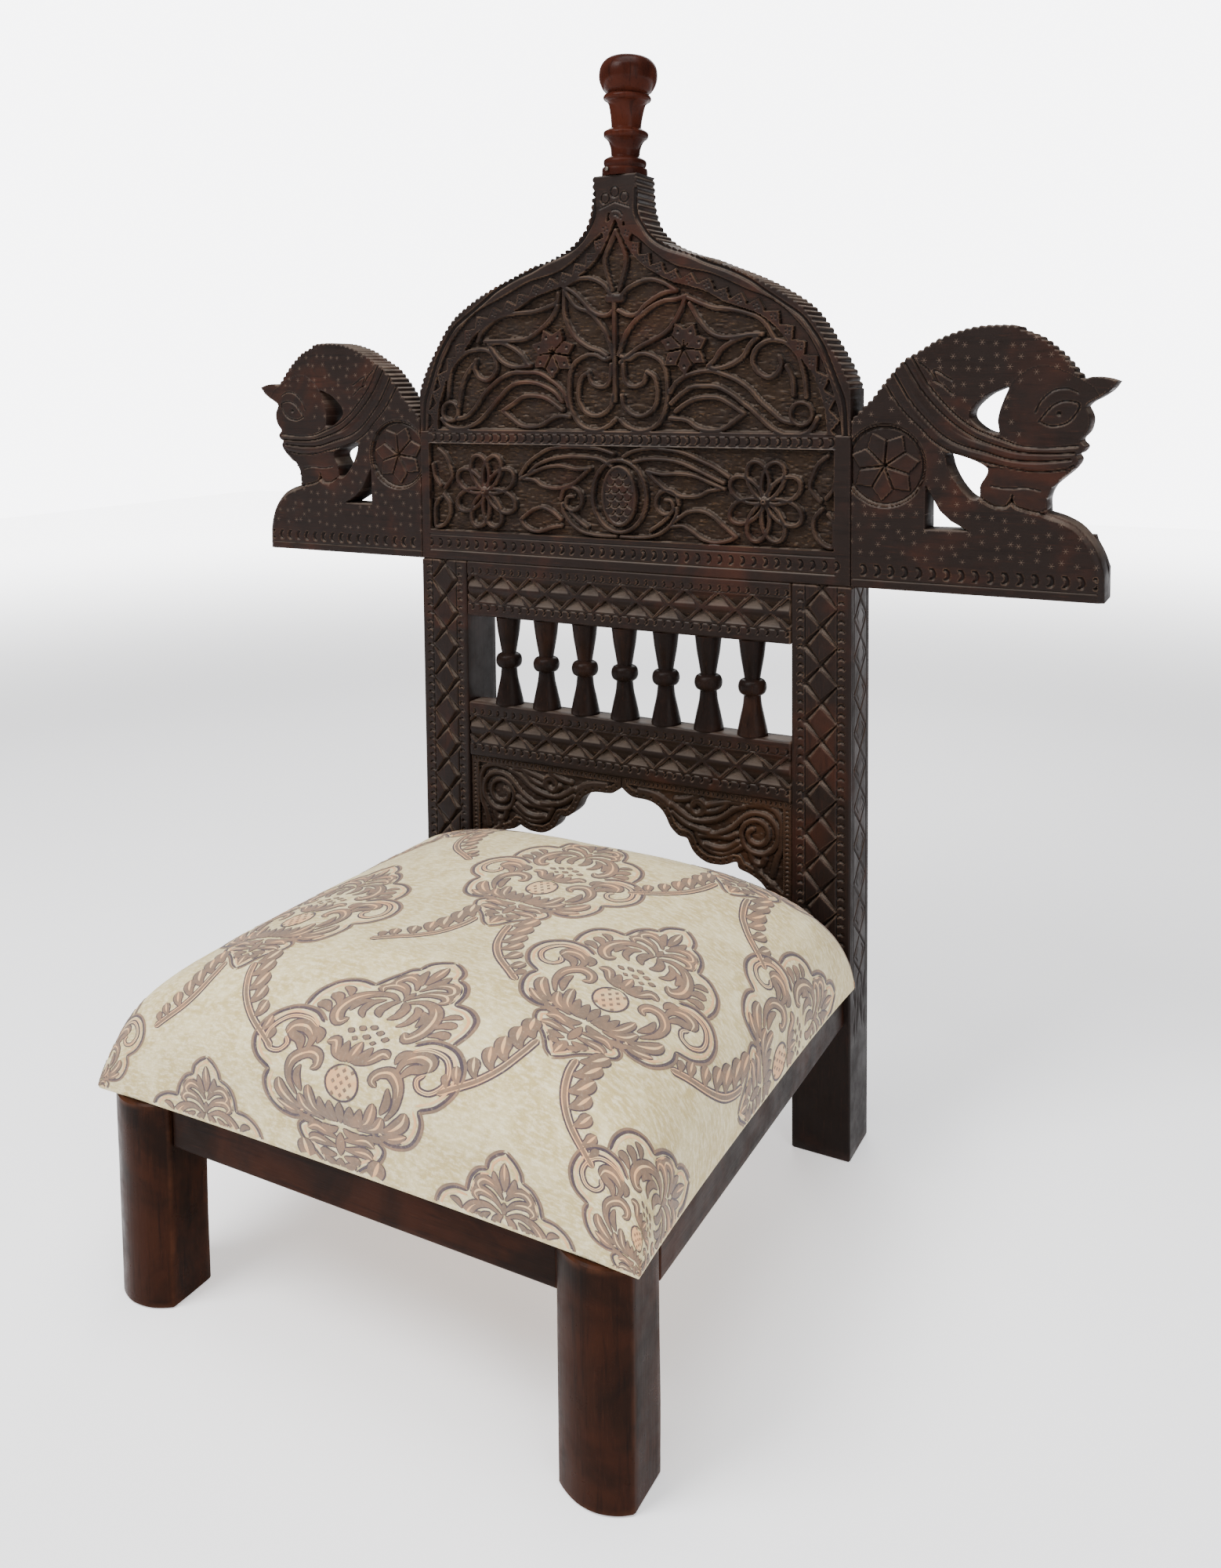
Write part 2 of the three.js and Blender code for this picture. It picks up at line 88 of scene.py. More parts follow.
def straight(points, step=1.5):
    """A broken line sampled about every step millimetres, without its last point."""
    p = np.array(points, float)
    out = []
    for a, b in zip(p[:-1], p[1:]):
        n = max(1, round(np.linalg.norm(b - a) / step))
        out.append(a + (b - a) * np.arange(n)[:, None] / n)
    return np.vstack(out)


def length_along(line):
    """How far along the line each of its points is."""
    return np.concatenate([[0], np.cumsum(np.linalg.norm(np.diff(line, axis=0), axis=1))])


def side_normals(line):
    """Unit normals, to the left of travel."""
    d = np.gradient(line, axis=0)
    d /= np.maximum(np.linalg.norm(d, axis=1, keepdims=True), 1e-9)
    return np.column_stack([-d[:, 1], d[:, 0]])


def reeded(points, pitch=6.8, depth=2.0, inward=1):
    """The curve as a row of reeds, cut in on its left (inward 1) or right (-1)."""
    line = smooth(points, 0.85)
    bite = depth * (1 - np.abs(np.sin(np.pi * length_along(line) / pitch)))
    return line + side_normals(line) * (bite * inward)[:, None]


def mirrored(points):
    """The points' mirror image about the chair's middle."""
    return [(-x, z) for x, z in points]


def inside(points, polygon):
    """Which points are inside the polygon."""
    polygon = np.asarray(polygon, float)
    odd = np.zeros(len(points), bool)
    x, z = points[:, 0], points[:, 1]
    for (x0, z0), (x1, z1) in zip(polygon, np.roll(polygon, -1, axis=0)):
        if z0 != z1:
            crosses = (z0 > z) != (z1 > z)
            odd ^= crosses & (x < (x1 - x0) * (z - z0) / (z1 - z0) + x0)
    return odd


def value_noise(points, cell, seed):
    """Smooth noise from 0 to 1 with cells of that size; cell may be one size for each axis."""
    table = np.random.default_rng(seed).random((64, 64))
    q = points / cell
    i = np.floor(q).astype(int)
    f = q - i
    f = f * f * (3 - 2 * f)
    x, z = i[:, 0] % 64, i[:, 1] % 64
    x1, z1 = (x + 1) % 64, (z + 1) % 64
    low = table[x, z] * (1 - f[:, 0]) + table[x1, z] * f[:, 0]
    high = table[x, z1] * (1 - f[:, 0]) + table[x1, z1] * f[:, 0]
    return low * (1 - f[:, 1]) + high * f[:, 1]


# ---------- carving ----------
class Carving:
    """Heights in millimetres over a face, minus is deeper, at its points p."""

    def __init__(self, p):
        self.p = p
        self.h = np.zeros(len(p))
        self.punch = np.zeros(len(p))

    def near(self, line, reach):
        """Indices of the points in the line's box, widened by reach."""
        low, high = line.min(0) - reach, line.max(0) + reach
        return np.flatnonzero(((self.p > low) & (self.p < high)).all(1))

    def measure(self, line, reach):
        """Points near a line: their index, distance from it, place along it and side of it."""
        at = self.near(line, reach)
        p = self.p[at]
        best = np.full(len(p), 1e9)
        along = np.zeros(len(p))
        side = np.zeros(len(p))
        start = length_along(line)
        for i, (a, b) in enumerate(zip(line[:-1], line[1:])):
            d = b - a
            size = np.linalg.norm(d)
            if size < 1e-9:
                continue
            t = np.clip((p - a) @ d / size**2, 0, 1)
            off = p - a - t[:, None] * d
            dist = np.hypot(off[:, 0], off[:, 1])
            closer = dist < best
            best[closer] = dist[closer]
            along[closer] = (start[i] + t * size)[closer]
            side[closer] = (d[0] * off[:, 1] - d[1] * off[:, 0])[closer]
        return at, best, along, np.sign(side)

    def ridge(self, line, width=3.4, top=-0.2, crown=1.3):
        line = np.asarray(line, float)
        at, dist, _, _ = self.measure(line, width)
        t = dist / (width / 2)
        wall = np.clip((1.45 - t) / 0.45, 0, 1)
        wall = wall * wall * (3 - 2 * wall)
        target = top - crown * np.minimum(t, 1) ** 2
        self.h[at] += np.maximum(0, target - self.h[at]) * wall

    def groove(self, line, width=2.5, depth=2.0):
        line = np.asarray(line, float)
        at, dist, _, _ = self.measure(line, width)
        t = dist / (width / 2)
        self.h[at] -= depth * np.clip(1 - t * t, 0, 1)

    def cut(self, a, b, wide, narrow=None, depth=3.0):
        """A straight V-cut from a to b, wide at b."""
        a, b = np.array(a, float), np.array(b, float)
        narrow = wide if narrow is None else narrow
        line = np.array([a, b])
        at, dist, along, _ = self.measure(line, wide)
        half = (narrow + (wide - narrow) * along / np.linalg.norm(b - a)) / 2
        self.h[at] = np.minimum(self.h[at], -depth * np.clip(1 - dist / half, 0, 1))

    def level(self, polygon, height):
        self.h[inside(self.p, polygon)] = height

    def dot(self, x, z, radius, depth):
        r = np.hypot(self.p[:, 0] - x, self.p[:, 1] - z) / radius
        self.h -= depth * np.clip(1 - r * r, 0, 1)

    def kite(self, centre, angle, inner, outer, width, height):
        """A raised kite-shaped petal, widest at 0.6 of its length."""
        d = np.array([math.cos(angle), math.sin(angle)])
        rel = self.p - np.array(centre)
        along = (rel @ d - inner) / (outer - inner)
        across = np.abs(rel @ np.array([-d[1], d[0]]))
        half = width / 2 * np.minimum(along / 0.6, (1 - along) / 0.4)
        on = across < half
        self.h[on] = height - 0.6 * (across[on] / half[on]) ** 2

    def crescents(self, s, t, start, stop, pitch, turn=1, size=3.4, depth=2.8):
        """A row of crescent punch marks: s is the distance along the row, t across it."""
        a = ((s - start) / pitch % 1 - 0.5) * pitch * turn
        r = np.hypot(a + 2.2, t)
        mark = np.clip(1 - ((r - size) / (0.42 * size)) ** 2, 0, 1)
        mark *= (a > -1.4) & (np.abs(t) < size + 0.3) & (s > start) & (s < stop)
        self.h -= depth * mark

    def chisel(self, where, amount, seed):
        """Small flats left by the chisel."""
        fine = value_noise(self.p, np.array([4.6, 1.9]), seed)
        coarse = value_noise(self.p, 9.0, seed + 1)
        self.h[where] += amount * (fine + 0.6 * coarse - 0.8)[where]


def on_side(carver, sign):
    """The carver, or for sign -1 its mirror image about the chair's middle."""
    def carve(work):
        work.p = work.p * [sign, 1]
        carver(work)
    return carve


def hex_grid(low, high, step):
    """Points of a triangular grid over a rectangle."""
    rows = np.arange(low[1], high[1], step * 0.866)
    columns = np.arange(low[0], high[0], step)
    x, z = np.meshgrid(columns, rows)
    x = x + (np.arange(len(rows)) % 2)[:, None] * step / 2
    return np.column_stack([x.ravel(), z.ravel()])


def rows_inside(loops, step):
    """Grid points inside the first loop and outside the others, clear of every edge."""
    every = np.vstack(loops)
    tree = KDTree(len(every))
    for i, (x, z) in enumerate(every):
        tree.insert((x, z, 0), i)
    tree.balance()
    grid = hex_grid(every.min(0), every.max(0), step)
    keep = inside(grid, loops[0])
    for hole in loops[1:]:
        keep &= ~inside(grid, hole)
    grid = grid[keep]
    clear = [tree.find((x, z, 0))[2] > 0.6 * step for x, z in grid]
    return grid[np.array(clear)]


def triangulate(loops, inner):
    """(points, triangles, for each loop the indices of its points)."""
    points = np.vstack([*loops, inner])
    edges, start = [], 0
    for loop in loops:
        n = len(loop)
        edges += [(start + i, start + (i + 1) % n) for i in range(n)]
        start += n
    found = delaunay_2d_cdt([Vector(p) for p in points], edges, [], 1, 1e-4, True)
    flat = np.array(found[0])
    triangles = np.array(found[2])
    place = {}
    for i, sources in enumerate(found[3]):
        for s in sources:
            place[s] = i
    rings, start = [], 0
    for loop in loops:
        rings.append([place[start + i] for i in range(len(loop))])
        start += len(loop)
    on_rim = np.zeros(len(flat), bool)
    on_rim[np.concatenate(rings)] = True
    doubtful = on_rim[triangles].all(1)  # only these can lie outside the outline or in a hole
    middle = flat[triangles[doubtful]].mean(1)
    good = inside(middle, loops[0])
    for hole in loops[1:]:
        good &= ~inside(middle, hole)
    keep = np.ones(len(triangles), bool)
    keep[doubtful] = good
    return flat, triangles[keep], rings


# ---------- objects ----------
ARRIS_FRONT, ARRIS_BACK = 0.7, 0.8  # edges taken off a carved board
DUST_STARTS, DUST_GROWS = 2.6, 3.2  # depths in a board: where dust begins, and how much deeper it is full
BAR_DUST = 4.0  # the same for a carved bar, from its face
LONG_EDGE = 7 * MM  # a plain face's mesh, with no wear and no painted crease shade


def mark_wear_and_crease_shade(mesh):
    """Stores how far each point stands out of its neighbours (wear) or sits in among them (hollow, the mask
    of the painted shade in creases).
    """
    n = len(mesh.vertices)
    co = np.zeros(n * 3)
    mesh.vertices.foreach_get("co", co)
    co = co.reshape(-1, 3)
    normal = np.zeros(n * 3)
    mesh.vertices.foreach_get("normal", normal)
    normal = normal.reshape(-1, 3)
    edge = np.zeros(len(mesh.edges) * 2, int)
    mesh.edges.foreach_get("vertices", edge)
    edge = edge.reshape(-1, 2)
    total, count = np.zeros((n, 3)), np.zeros(n)
    for a, b in (edge.T, edge.T[::-1]):
        np.add.at(total, a, co[b] - co[a])
        np.add.at(count, a, 1)
    bend = ((total / np.maximum(count, 1)[:, None]) * normal).sum(1) / (0.5 * MM)
    longest = np.zeros(n)
    for a in edge.T:
        np.maximum.at(longest, a, np.linalg.norm(co[edge[:, 0]] - co[edge[:, 1]], axis=1))
    bend[longest > LONG_EDGE] = 0
    for name, value in (("wear", -bend), ("hollow", bend)):
        layer = mesh.attributes.new(name, "FLOAT", "POINT")
        layer.data.foreach_set("value", np.clip(value, 0, 1).astype(np.float32))


def make(name, points, faces, material, slot, *nodes, angle=50, closed=True, **layers):
    """A piece of the chair from chair-frame points and faces, on the root body."""
    mesh = bpy.data.meshes.new(name)
    mesh.from_pydata(to_row(points).tolist(), [], [tuple(f) for f in faces])
    mesh.validate()
    if closed:
        work = bmesh.new()
        work.from_mesh(mesh)
        bmesh.ops.recalc_face_normals(work, faces=work.faces)
        work.to_mesh(mesh)
        work.free()
    mesh.shade_smooth()
    mesh.set_sharp_from_angle(angle=math.radians(angle))
    for layer_name, value in layers.items():
        value = np.asarray(value, np.float32)
        kind = "FLOAT" if value.ndim == 1 else "FLOAT_VECTOR"
        layer = mesh.attributes.new(layer_name, kind, "POINT")
        layer.data.foreach_set("value" if value.ndim == 1 else "vector", value.ravel())
    mark_wear_and_crease_shade(mesh)
    mesh.materials.append(material)
    obj = bpy.data.objects.new(name, mesh)
    bpy.context.scene.collection.objects.link(obj)
    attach(obj, "root")
    if nodes:
        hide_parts(*nodes)
    return obj


def slab(loops, y_front, y_back):
    """A plain board cut to the loops: (points, faces)."""
    flat, triangles, rings = triangulate(loops, np.zeros((0, 2)))
    n = len(flat)
    points = [np.column_stack([flat[:, 0], np.full(n, y), flat[:, 1]]) for y in (y_front, y_back)]
    faces = triangles.tolist() + (triangles[:, ::-1] + n).tolist()
    for ring in rings:
        for a, b in zip(ring, ring[1:] + ring[:1]):
            faces.append([a, b, b + n, a + n])
    return np.vstack(points), faces


def carved_board(name, loops, carve, y_front, thick, step, material, slot, *nodes, backing=None):
    """A board cut to the loops, with its front carved by carve(Carving)."""
    flat, triangles, rings = triangulate(loops, rows_inside(loops, step))
    work = Carving(flat)
    carve(work)
    rim = [i for ring in rings for i in ring]
    work.h[rim] = np.minimum(work.h[rim], 0) - ARRIS_FRONT
    front = np.column_stack([flat[:, 0], y_front - work.h, flat[:, 1]])
    edge = flat[rim]
    back_flat, back_triangles, back_rings = triangulate(loops, np.zeros((0, 2)))
    n = len(front)
    back = np.column_stack([back_flat[:, 0], np.full(len(back_flat), y_front + thick), back_flat[:, 1]])
    lip = np.column_stack([edge[:, 0], np.full(len(edge), y_front + thick - ARRIS_BACK), edge[:, 1]])
    faces = triangles.tolist() + (back_triangles[:, ::-1] + n).tolist()
    start = n + len(back)
    for ring, back_ring in zip(rings, back_rings):
        k = len(ring)
        for i in range(k):
            j = (i + 1) % k
            faces.append([ring[i], ring[j], start + j, start + i])
            faces.append([start + i, start + j, back_ring[j] + n, back_ring[i] + n])
        start += k
    points = np.vstack([front, back, lip])
    if backing is not None:
        more, more_faces = backing
        faces += [[i + len(points) for i in f] for f in more_faces]
        points = np.vstack([points, more])
    plain = np.zeros(len(points) - n)
    deep = np.concatenate([np.clip((-work.h - DUST_STARTS) / DUST_GROWS, 0, 1.2), plain])
    punch = np.concatenate([work.punch, plain])
    return make(name, points, faces, material, slot, *nodes, angle=62, deep=deep, punch=punch)


def rounded_rectangle(width, depth, steps, radius=2.0):
    """Closed section from (0, 0) to (width, depth), counter-clockwise from its low left corner.
    steps is the spacing on each of its four sides. Returns points, normals, side numbers and places."""
    sides = [((0, 0), (1, 0), width), ((width, 0), (0, 1), depth),
             ((width, depth), (-1, 0), width), ((0, depth), (0, -1), depth)]
    points, normals, number, place = [], [], [], []
    for k, ((x, y), (dx, dy), size) in enumerate(sides):
        count = max(2, round((size - 2 * radius) / steps[k]) + 1)
        for s in np.linspace(radius, size - radius, count):
            points.append((x + dx * s, y + dy * s))
            normals.append((dy, -dx))
            number.append(k)
            place.append(s)
        turn = math.atan2(-dx, dy)
        cx = x + dx * (size - radius) - dy * radius
        cy = y + dy * (size - radius) + dx * radius
        for share in (0.33, 0.67):
            a = turn + share * math.pi / 2
            points.append((cx + radius * math.cos(a), cy + radius * math.sin(a)))
            normals.append((math.cos(a), math.sin(a)))
            number.append(-1)
            place.append(0)
    return np.array(points), np.array(normals), np.array(number), np.array(place)


def sweep(section, normals, stations, heights, ends=1.6):
    """Grid of points (along, section) and faces for a section swept along its third axis."""
    rows = []
    size = len(section)
    for k, t in enumerate(stations):
        h = heights[k]
        if k in (0, len(stations) - 1):
            h = h - ends
        rows.append(np.column_stack([section + normals * np.reshape(h, (-1, 1)), np.full(size, t)]))
    points = np.vstack(rows)
    faces = []
    for k in range(len(stations) - 1):
        a = k * size
        for i in range(size):
            j = (i + 1) % size
            faces.append([a + i, a + j, a + size + j, a + size + i])
    faces.append(list(range(size))[::-1])
    faces.append([len(points) - size + i for i in range(size)])
    return points, faces


def stations_between(low, high, fine_from, fine_to, fine, coarse=9.0, ends=1.6):
    """Places along a bar, close together only in the carved stretch."""
    parts = [[low], np.linspace(low + ends, fine_from, max(2, int((fine_from - low) / coarse)), False)]
    parts.append(np.linspace(fine_from, fine_to, max(2, int((fine_to - fine_from) / fine)), False))
    parts.append(np.linspace(fine_to, high - ends, max(2, int((high - fine_to) / coarse) + 1)))
    parts.append([high])
    return np.unique(np.round(np.concatenate(parts), 4))


def carved_bar(name, width, depth, steps, stations, carvers, place, material, slot, *nodes):
    """A bar with carved sides. carvers maps a side's number to a function of (Carving), whose
    points are (place across the side, place along the bar). place maps points to the chair."""
    section, normals, number, across = rounded_rectangle(width, depth, steps)
    shape = (len(stations), len(section))
    height = np.zeros(shape)
    along = np.repeat(stations, len(section)).reshape(shape)
    wide = np.tile(across, len(stations)).reshape(shape)
    for side, carver in carvers.items():
        on = np.flatnonzero(number == side)
        work = Carving(np.column_stack([wide[:, on].ravel(), along[:, on].ravel()]))
        carver(work)
        height[:, on] = work.h.reshape(len(stations), len(on))
    points, faces = sweep(section, normals, stations, height)
    deep = np.clip(-height.ravel() / BAR_DUST, 0, 1.2)
    return make(name, place(points), faces, material, slot, *nodes, angle=58, deep=deep)


def lathe(name, profile, centre, segments, material, slot, *nodes, tilt=0.0, floor=None):
    """A turned piece about a vertical axis; profile is (radius, height) pairs."""
    profile = np.array(profile, float)
    a = np.arange(segments) * 2 * math.pi / segments
    r, z = profile[:, :1], profile[:, 1:]
    wobble = 1 + 0.006 * np.sin(3 * a + profile[:, 1:] * 0.05)
    points = np.stack([r * wobble * np.cos(a), r * wobble * np.sin(a), z + 0 * a], axis=2)
    points = points.reshape(-1, 3)
    turn = np.array(Matrix.Rotation(math.radians(tilt), 3, "Y"))
    points = points @ turn.T + np.array(centre, float)
    if floor is not None:
        points[:, 2] = np.maximum(points[:, 2], floor)
    faces = []
    for k in range(len(profile) - 1):
        for i in range(segments):
            j = (i + 1) % segments
            faces.append([k * segments + i, k * segments + j,
                          (k + 1) * segments + j, (k + 1) * segments + i])
    faces.append(list(range(segments))[::-1])
    faces.append([(len(profile) - 1) * segments + i for i in range(segments)])
    return make(name, points, faces, material, slot, *nodes, angle=35)


# ---------- materials ----------
def linear(r, g, b):
    """An sRGB colour from 0 to 255 as linear RGBA."""
    def one(c):
        c /= 255
        return c / 12.92 if c <= 0.04045 else ((c + 0.055) / 1.055) ** 2.4
    return (one(r), one(g), one(b), 1.0)


class Finish:
    """A small material graph round one Principled shader."""

    def __init__(self, name):
        self.material = bpy.data.materials.new(name)
        self.material.use_nodes = True
        self.tree = self.material.node_tree
        self.tree.nodes.clear()
        self.shader = self.node("ShaderNodeBsdfPrincipled")
        out = self.node("ShaderNodeOutputMaterial")
        self.tree.links.new(self.shader.outputs[0], out.inputs[0])
        self.place = self.node("ShaderNodeTexCoord").outputs["Object"]

    def node(self, kind, inputs=None, **settings):
        made = self.tree.nodes.new(kind)
        for key, value in settings.items():
            setattr(made, key, value)
        for key, value in (inputs or {}).items():
            self.put(made.inputs[key], value)
        return made

    def put(self, socket, value):
        if isinstance(value, bpy.types.NodeSocket):
            self.tree.links.new(value, socket)
        else:
            socket.default_value = value

    def math(self, operation, a, b=0.0, clamp=False):
        made = self.node("ShaderNodeMath", {0: a, 1: b}, operation=operation, use_clamp=clamp)
        return made.outputs[0]

    def vector(self, operation, a, b=(0, 0, 0)):
        made = self.node("ShaderNodeVectorMath", {0: a, 1: b}, operation=operation)
        return made.outputs["Value" if operation == "LENGTH" else "Vector"]

    def scaled(self, x, y, z, place=None):
        return self.vector("MULTIPLY", place or self.place, (x, y, z))

    def noise(self, place, scale, detail=4.0, roughness=0.55, distortion=0.0):
        made = self.node("ShaderNodeTexNoise", {
            "Vector": place, "Scale": scale, "Detail": detail,
            "Roughness": roughness, "Distortion": distortion})
        return made.outputs[0]

    def ramp(self, value, low, high, bottom=0.0, top=1.0):
        made = self.node("ShaderNodeMapRange", {0: value, 1: low, 2: high, 3: bottom, 4: top},
                         interpolation_type="SMOOTHSTEP")
        return made.outputs[0]

    def mix(self, share, a, b, blend="MIX"):
        made = self.node("ShaderNodeMix", {0: share, 6: a, 7: b}, data_type="RGBA", blend_type=blend)
        return made.outputs[2]

    def layer(self, name, vector=False):
        made = self.node("ShaderNodeAttribute", attribute_name=name)
        return made.outputs["Vector" if vector else "Fac"]

    def bump(self, *heights):
        """Bumps of (height, strength, distance in metres), laid over each other."""
        normal = None
        for height, strength, distance in heights:
            inputs = {"Height": height, "Strength": strength, "Distance": distance}
            if normal:
                inputs["Normal"] = normal
            normal = self.node("ShaderNodeBump", inputs).outputs[0]
        self.put(self.shader.inputs["Normal"], normal)

    def set(self, **values):
        for key, value in values.items():
            self.put(self.shader.inputs[key.replace("_", " ")], value)


def stars(f, cell=0.0122, arm=0.0031, thin=0.00034):
    """Mask of little six-armed punch marks scattered over x and z."""
    place = f.node("ShaderNodeSeparateXYZ", {0: f.place})
    flat = f.node("ShaderNodeCombineXYZ", {0: place.outputs[0], 1: place.outputs[2]}).outputs[0]
    cells = f.node("ShaderNodeTexVoronoi", {"Vector": flat, "Scale": 1 / cell, "Randomness": 0.6},
                   voronoi_dimensions="2D")
    local = f.vector("SUBTRACT", flat, cells.outputs["Position"])
    parts = f.node("ShaderNodeSeparateXYZ", {0: local})
    radius = f.vector("LENGTH", local)
    turn = f.math("ARCTAN2", parts.outputs[1], parts.outputs[0])
    spread = f.math("ABSOLUTE", f.math("SINE", f.math("MULTIPLY", turn, 3.0)))
    off = f.math("MULTIPLY", spread, radius)
    on_arm = f.ramp(off, thin * 1.6, thin * 0.7)
    return f.math("MULTIPLY", on_arm, f.ramp(radius, arm, arm * 0.75))


PORE, WARM_STREAK, SPLINTER = linear(12, 8, 7), linear(66, 38, 26), linear(94, 70, 48)
# SHADOW is painted shade for the creases; the colour after it is a painted highlight for faces that look up.
SHADOW, TOP_HIGHLIGHT, STAR = linear(9, 6, 5), linear(104, 92, 82), linear(118, 100, 86)


def wood(name, grain_axis, dark, red, gloss, dust=None, worn=None, patchy=0.54):
    """Old hand-carved hardwood. dust settles in the carving, worn shows on its edges. With dust given, a
    painted shade darkens its creases and a painted highlight lightens its upward faces.
    """
    f = Finish(name)
    stretch = [1.0, 1.0, 1.0]
    stretch[grain_axis] = 0.07
    grain_place = f.scaled(*stretch)
    grain = f.noise(grain_place, 210, 6, 0.62, 0.4)
    streak = f.noise(grain_place, 620, 3, 0.7)
    patch = f.noise(f.place, 11, 4, 0.6, 0.5)
    soot = f.noise(f.place, 34, 5, 0.65)
    colour = f.mix(f.ramp(patch, patchy - 0.06, patchy + 0.2), dark, red)
    colour = f.mix(f.ramp(grain, 0.5, 0.72, 0, 0.55), colour, PORE)
    colour = f.mix(f.ramp(streak, 0.56, 0.8, 0, 0.3), colour, WARM_STREAK)
    rough = f.ramp(soot, 0.3, 0.75, gloss - 0.09, gloss + 0.13)
    heights = [(grain, 0.25, 0.0006), (streak, 0.22, 0.0003)]
    if dust:
        deep = f.ramp(f.layer("deep"), 0.35, 1.0)
        crease_shade = f.ramp(f.layer("hollow"), 0.15, 0.8, 0, 0.85)
        broken = f.ramp(soot, 0.32, 0.62, 0.3, 0.75)
        amount = f.math("MULTIPLY", deep, broken)
        colour = f.mix(amount, colour, dust)
        chip = f.noise(f.scaled(0.45, 1, 1.5), 360, 4, 0.7, 0.6)
        scratch = f.math("MULTIPLY", f.ramp(chip, 0.54, 0.68, 0, 0.35), deep)
        colour = f.mix(scratch, colour, SPLINTER)
        # painted shade: the hollows between ridges are darkened nearly to black
        colour = f.mix(crease_shade, colour, SHADOW)
        # painted highlight: faces that look up are lightened, standing in for the sheen of the overhead
        # light
        normal = f.node("ShaderNodeNewGeometry").outputs["Normal"]
        upward = f.node("ShaderNodeSeparateXYZ", {0: normal}).outputs[2]
        top_highlight = f.math("MULTIPLY", f.ramp(upward, 0.2, 0.55, 0, 0.5), f.ramp(soot, 0.3, 0.6, 0.45, 1))
        top_highlight = f.math("MULTIPLY", top_highlight, f.ramp(f.layer("wear"), 0.03, 0.25, 1, 0.3))
        colour = f.mix(top_highlight, colour, TOP_HIGHLIGHT)
        rough = f.math("ADD", rough, f.math("MULTIPLY", amount, 0.45), True)
        punch = f.math("MULTIPLY", stars(f), f.layer("punch"))
        colour = f.mix(f.math("MULTIPLY", punch, 0.4), colour, STAR)
        heights.append((f.math("SUBTRACT", 1.0, punch), 0.5, 0.0006))
        heights.append((f.math("MULTIPLY", chip, deep), 0.8, 0.0016))
    if worn:
        edges = f.ramp(f.layer("wear"), 0.2, 1.0, 0, 0.3)
        rub = f.math("MULTIPLY", edges, f.ramp(soot, 0.38, 0.66, 0.15, 1))
        colour = f.mix(rub, colour, worn)
    f.set(Base_Color=colour, Roughness=rough)
    f.shader.inputs["Specular IOR Level"].default_value = 0.1 if dust else 0.035
    f.bump(*heights)
    return f.material


def cloth(name):
    """Cream chenille with lighter rubbed patches and a fine rib."""
    f = Finish(name)
    flat = f.layer("cloth", vector=True)
    cloud = f.noise(flat, 34, 5, 0.62, 0.8)
    nap = f.noise(f.scaled(1, 2.2, 1, flat), 130, 5, 0.72)
    thread = f.noise(f.scaled(1, 0.22, 1, flat), 1500, 2, 0.5)
    across = f.noise(f.scaled(0.22, 1, 1, flat), 1500, 2, 0.5)
    colour = f.mix(f.ramp(cloud, 0.4, 0.68), linear(186, 166, 112), linear(209, 194, 146))
    colour = f.mix(f.ramp(nap, 0.42, 0.66, 0, 0.75), colour, linear(230, 219, 184))
    colour = f.mix(f.ramp(thread, 0.5, 0.8, 0, 0.4), colour, linear(160, 142, 102))
    f.set(Base_Color=colour, Roughness=f.ramp(nap, 0.3, 0.8, 0.95, 0.7))
    f.shader.inputs["Sheen Weight"].default_value = 0.25
    f.shader.inputs["Sheen Roughness"].default_value = 0.4
    f.bump((thread, 0.35, 0.0005), (across, 0.35, 0.0005), (nap, 0.3, 0.0012))
    return f.material


def figured(name):
    """The raised figure of the cloth: shade 0 is its outline, 1 its body, 2 its light."""
    f = Finish(name)
    shade = f.layer("shade")
    flat = f.layer("cloth", vector=True)
    nap = f.noise(flat, 420, 4, 0.7)
    cloud = f.noise(flat, 46, 3, 0.6)
    line = f.mix(f.ramp(cloud, 0.35, 0.65), linear(58, 46, 54), linear(76, 58, 58))
    body = f.mix(f.ramp(cloud, 0.4, 0.66), linear(108, 87, 70), linear(130, 100, 76))
    light = f.mix(f.ramp(cloud, 0.35, 0.6), linear(208, 178, 132), linear(210, 158, 108))
    colour = f.mix(f.ramp(shade, 0.3, 0.7), line, body)
    colour = f.mix(f.ramp(shade, 1.3, 1.7), colour, light)
    colour = f.mix(f.ramp(nap, 0.55, 0.8, 0, 0.4), colour, linear(196, 176, 142))
    f.set(Base_Color=colour, Roughness=f.ramp(nap, 0.3, 0.8, 0.9, 0.6))
    f.shader.inputs["Sheen Weight"].default_value = 0.2
    f.bump((nap, 0.5, 0.0006))
    return f.material


def timber(name, light, dark, grain_axis):
    """Unfinished timber for blocks, dowels and the seat board."""
    f = Finish(name)
    stretch = [1.0, 1.0, 1.0]
    stretch[grain_axis] = 0.05
    grain = f.noise(f.scaled(*stretch), 160, 5, 0.6, 0.5)
    spot = f.noise(f.place, 40, 3)
    colour = f.mix(f.ramp(grain, 0.35, 0.7), light, dark)
    f.set(Base_Color=colour, Roughness=f.ramp(spot, 0.3, 0.7, 0.68, 0.86))
    f.bump((grain, 0.3, 0.0005))
    return f.material


def metal(name):
    f = Finish(name)
    spot = f.noise(f.place, 900, 3)
    colour = f.mix(f.ramp(spot, 0.4, 0.65), linear(128, 124, 118), linear(86, 72, 60))
    f.set(Base_Color=colour, Roughness=f.ramp(spot, 0.3, 0.7, 0.3, 0.55))
    f.shader.inputs["Metallic"].default_value = 1.0
    f.bump((spot, 0.2, 0.0002))
    return f.material


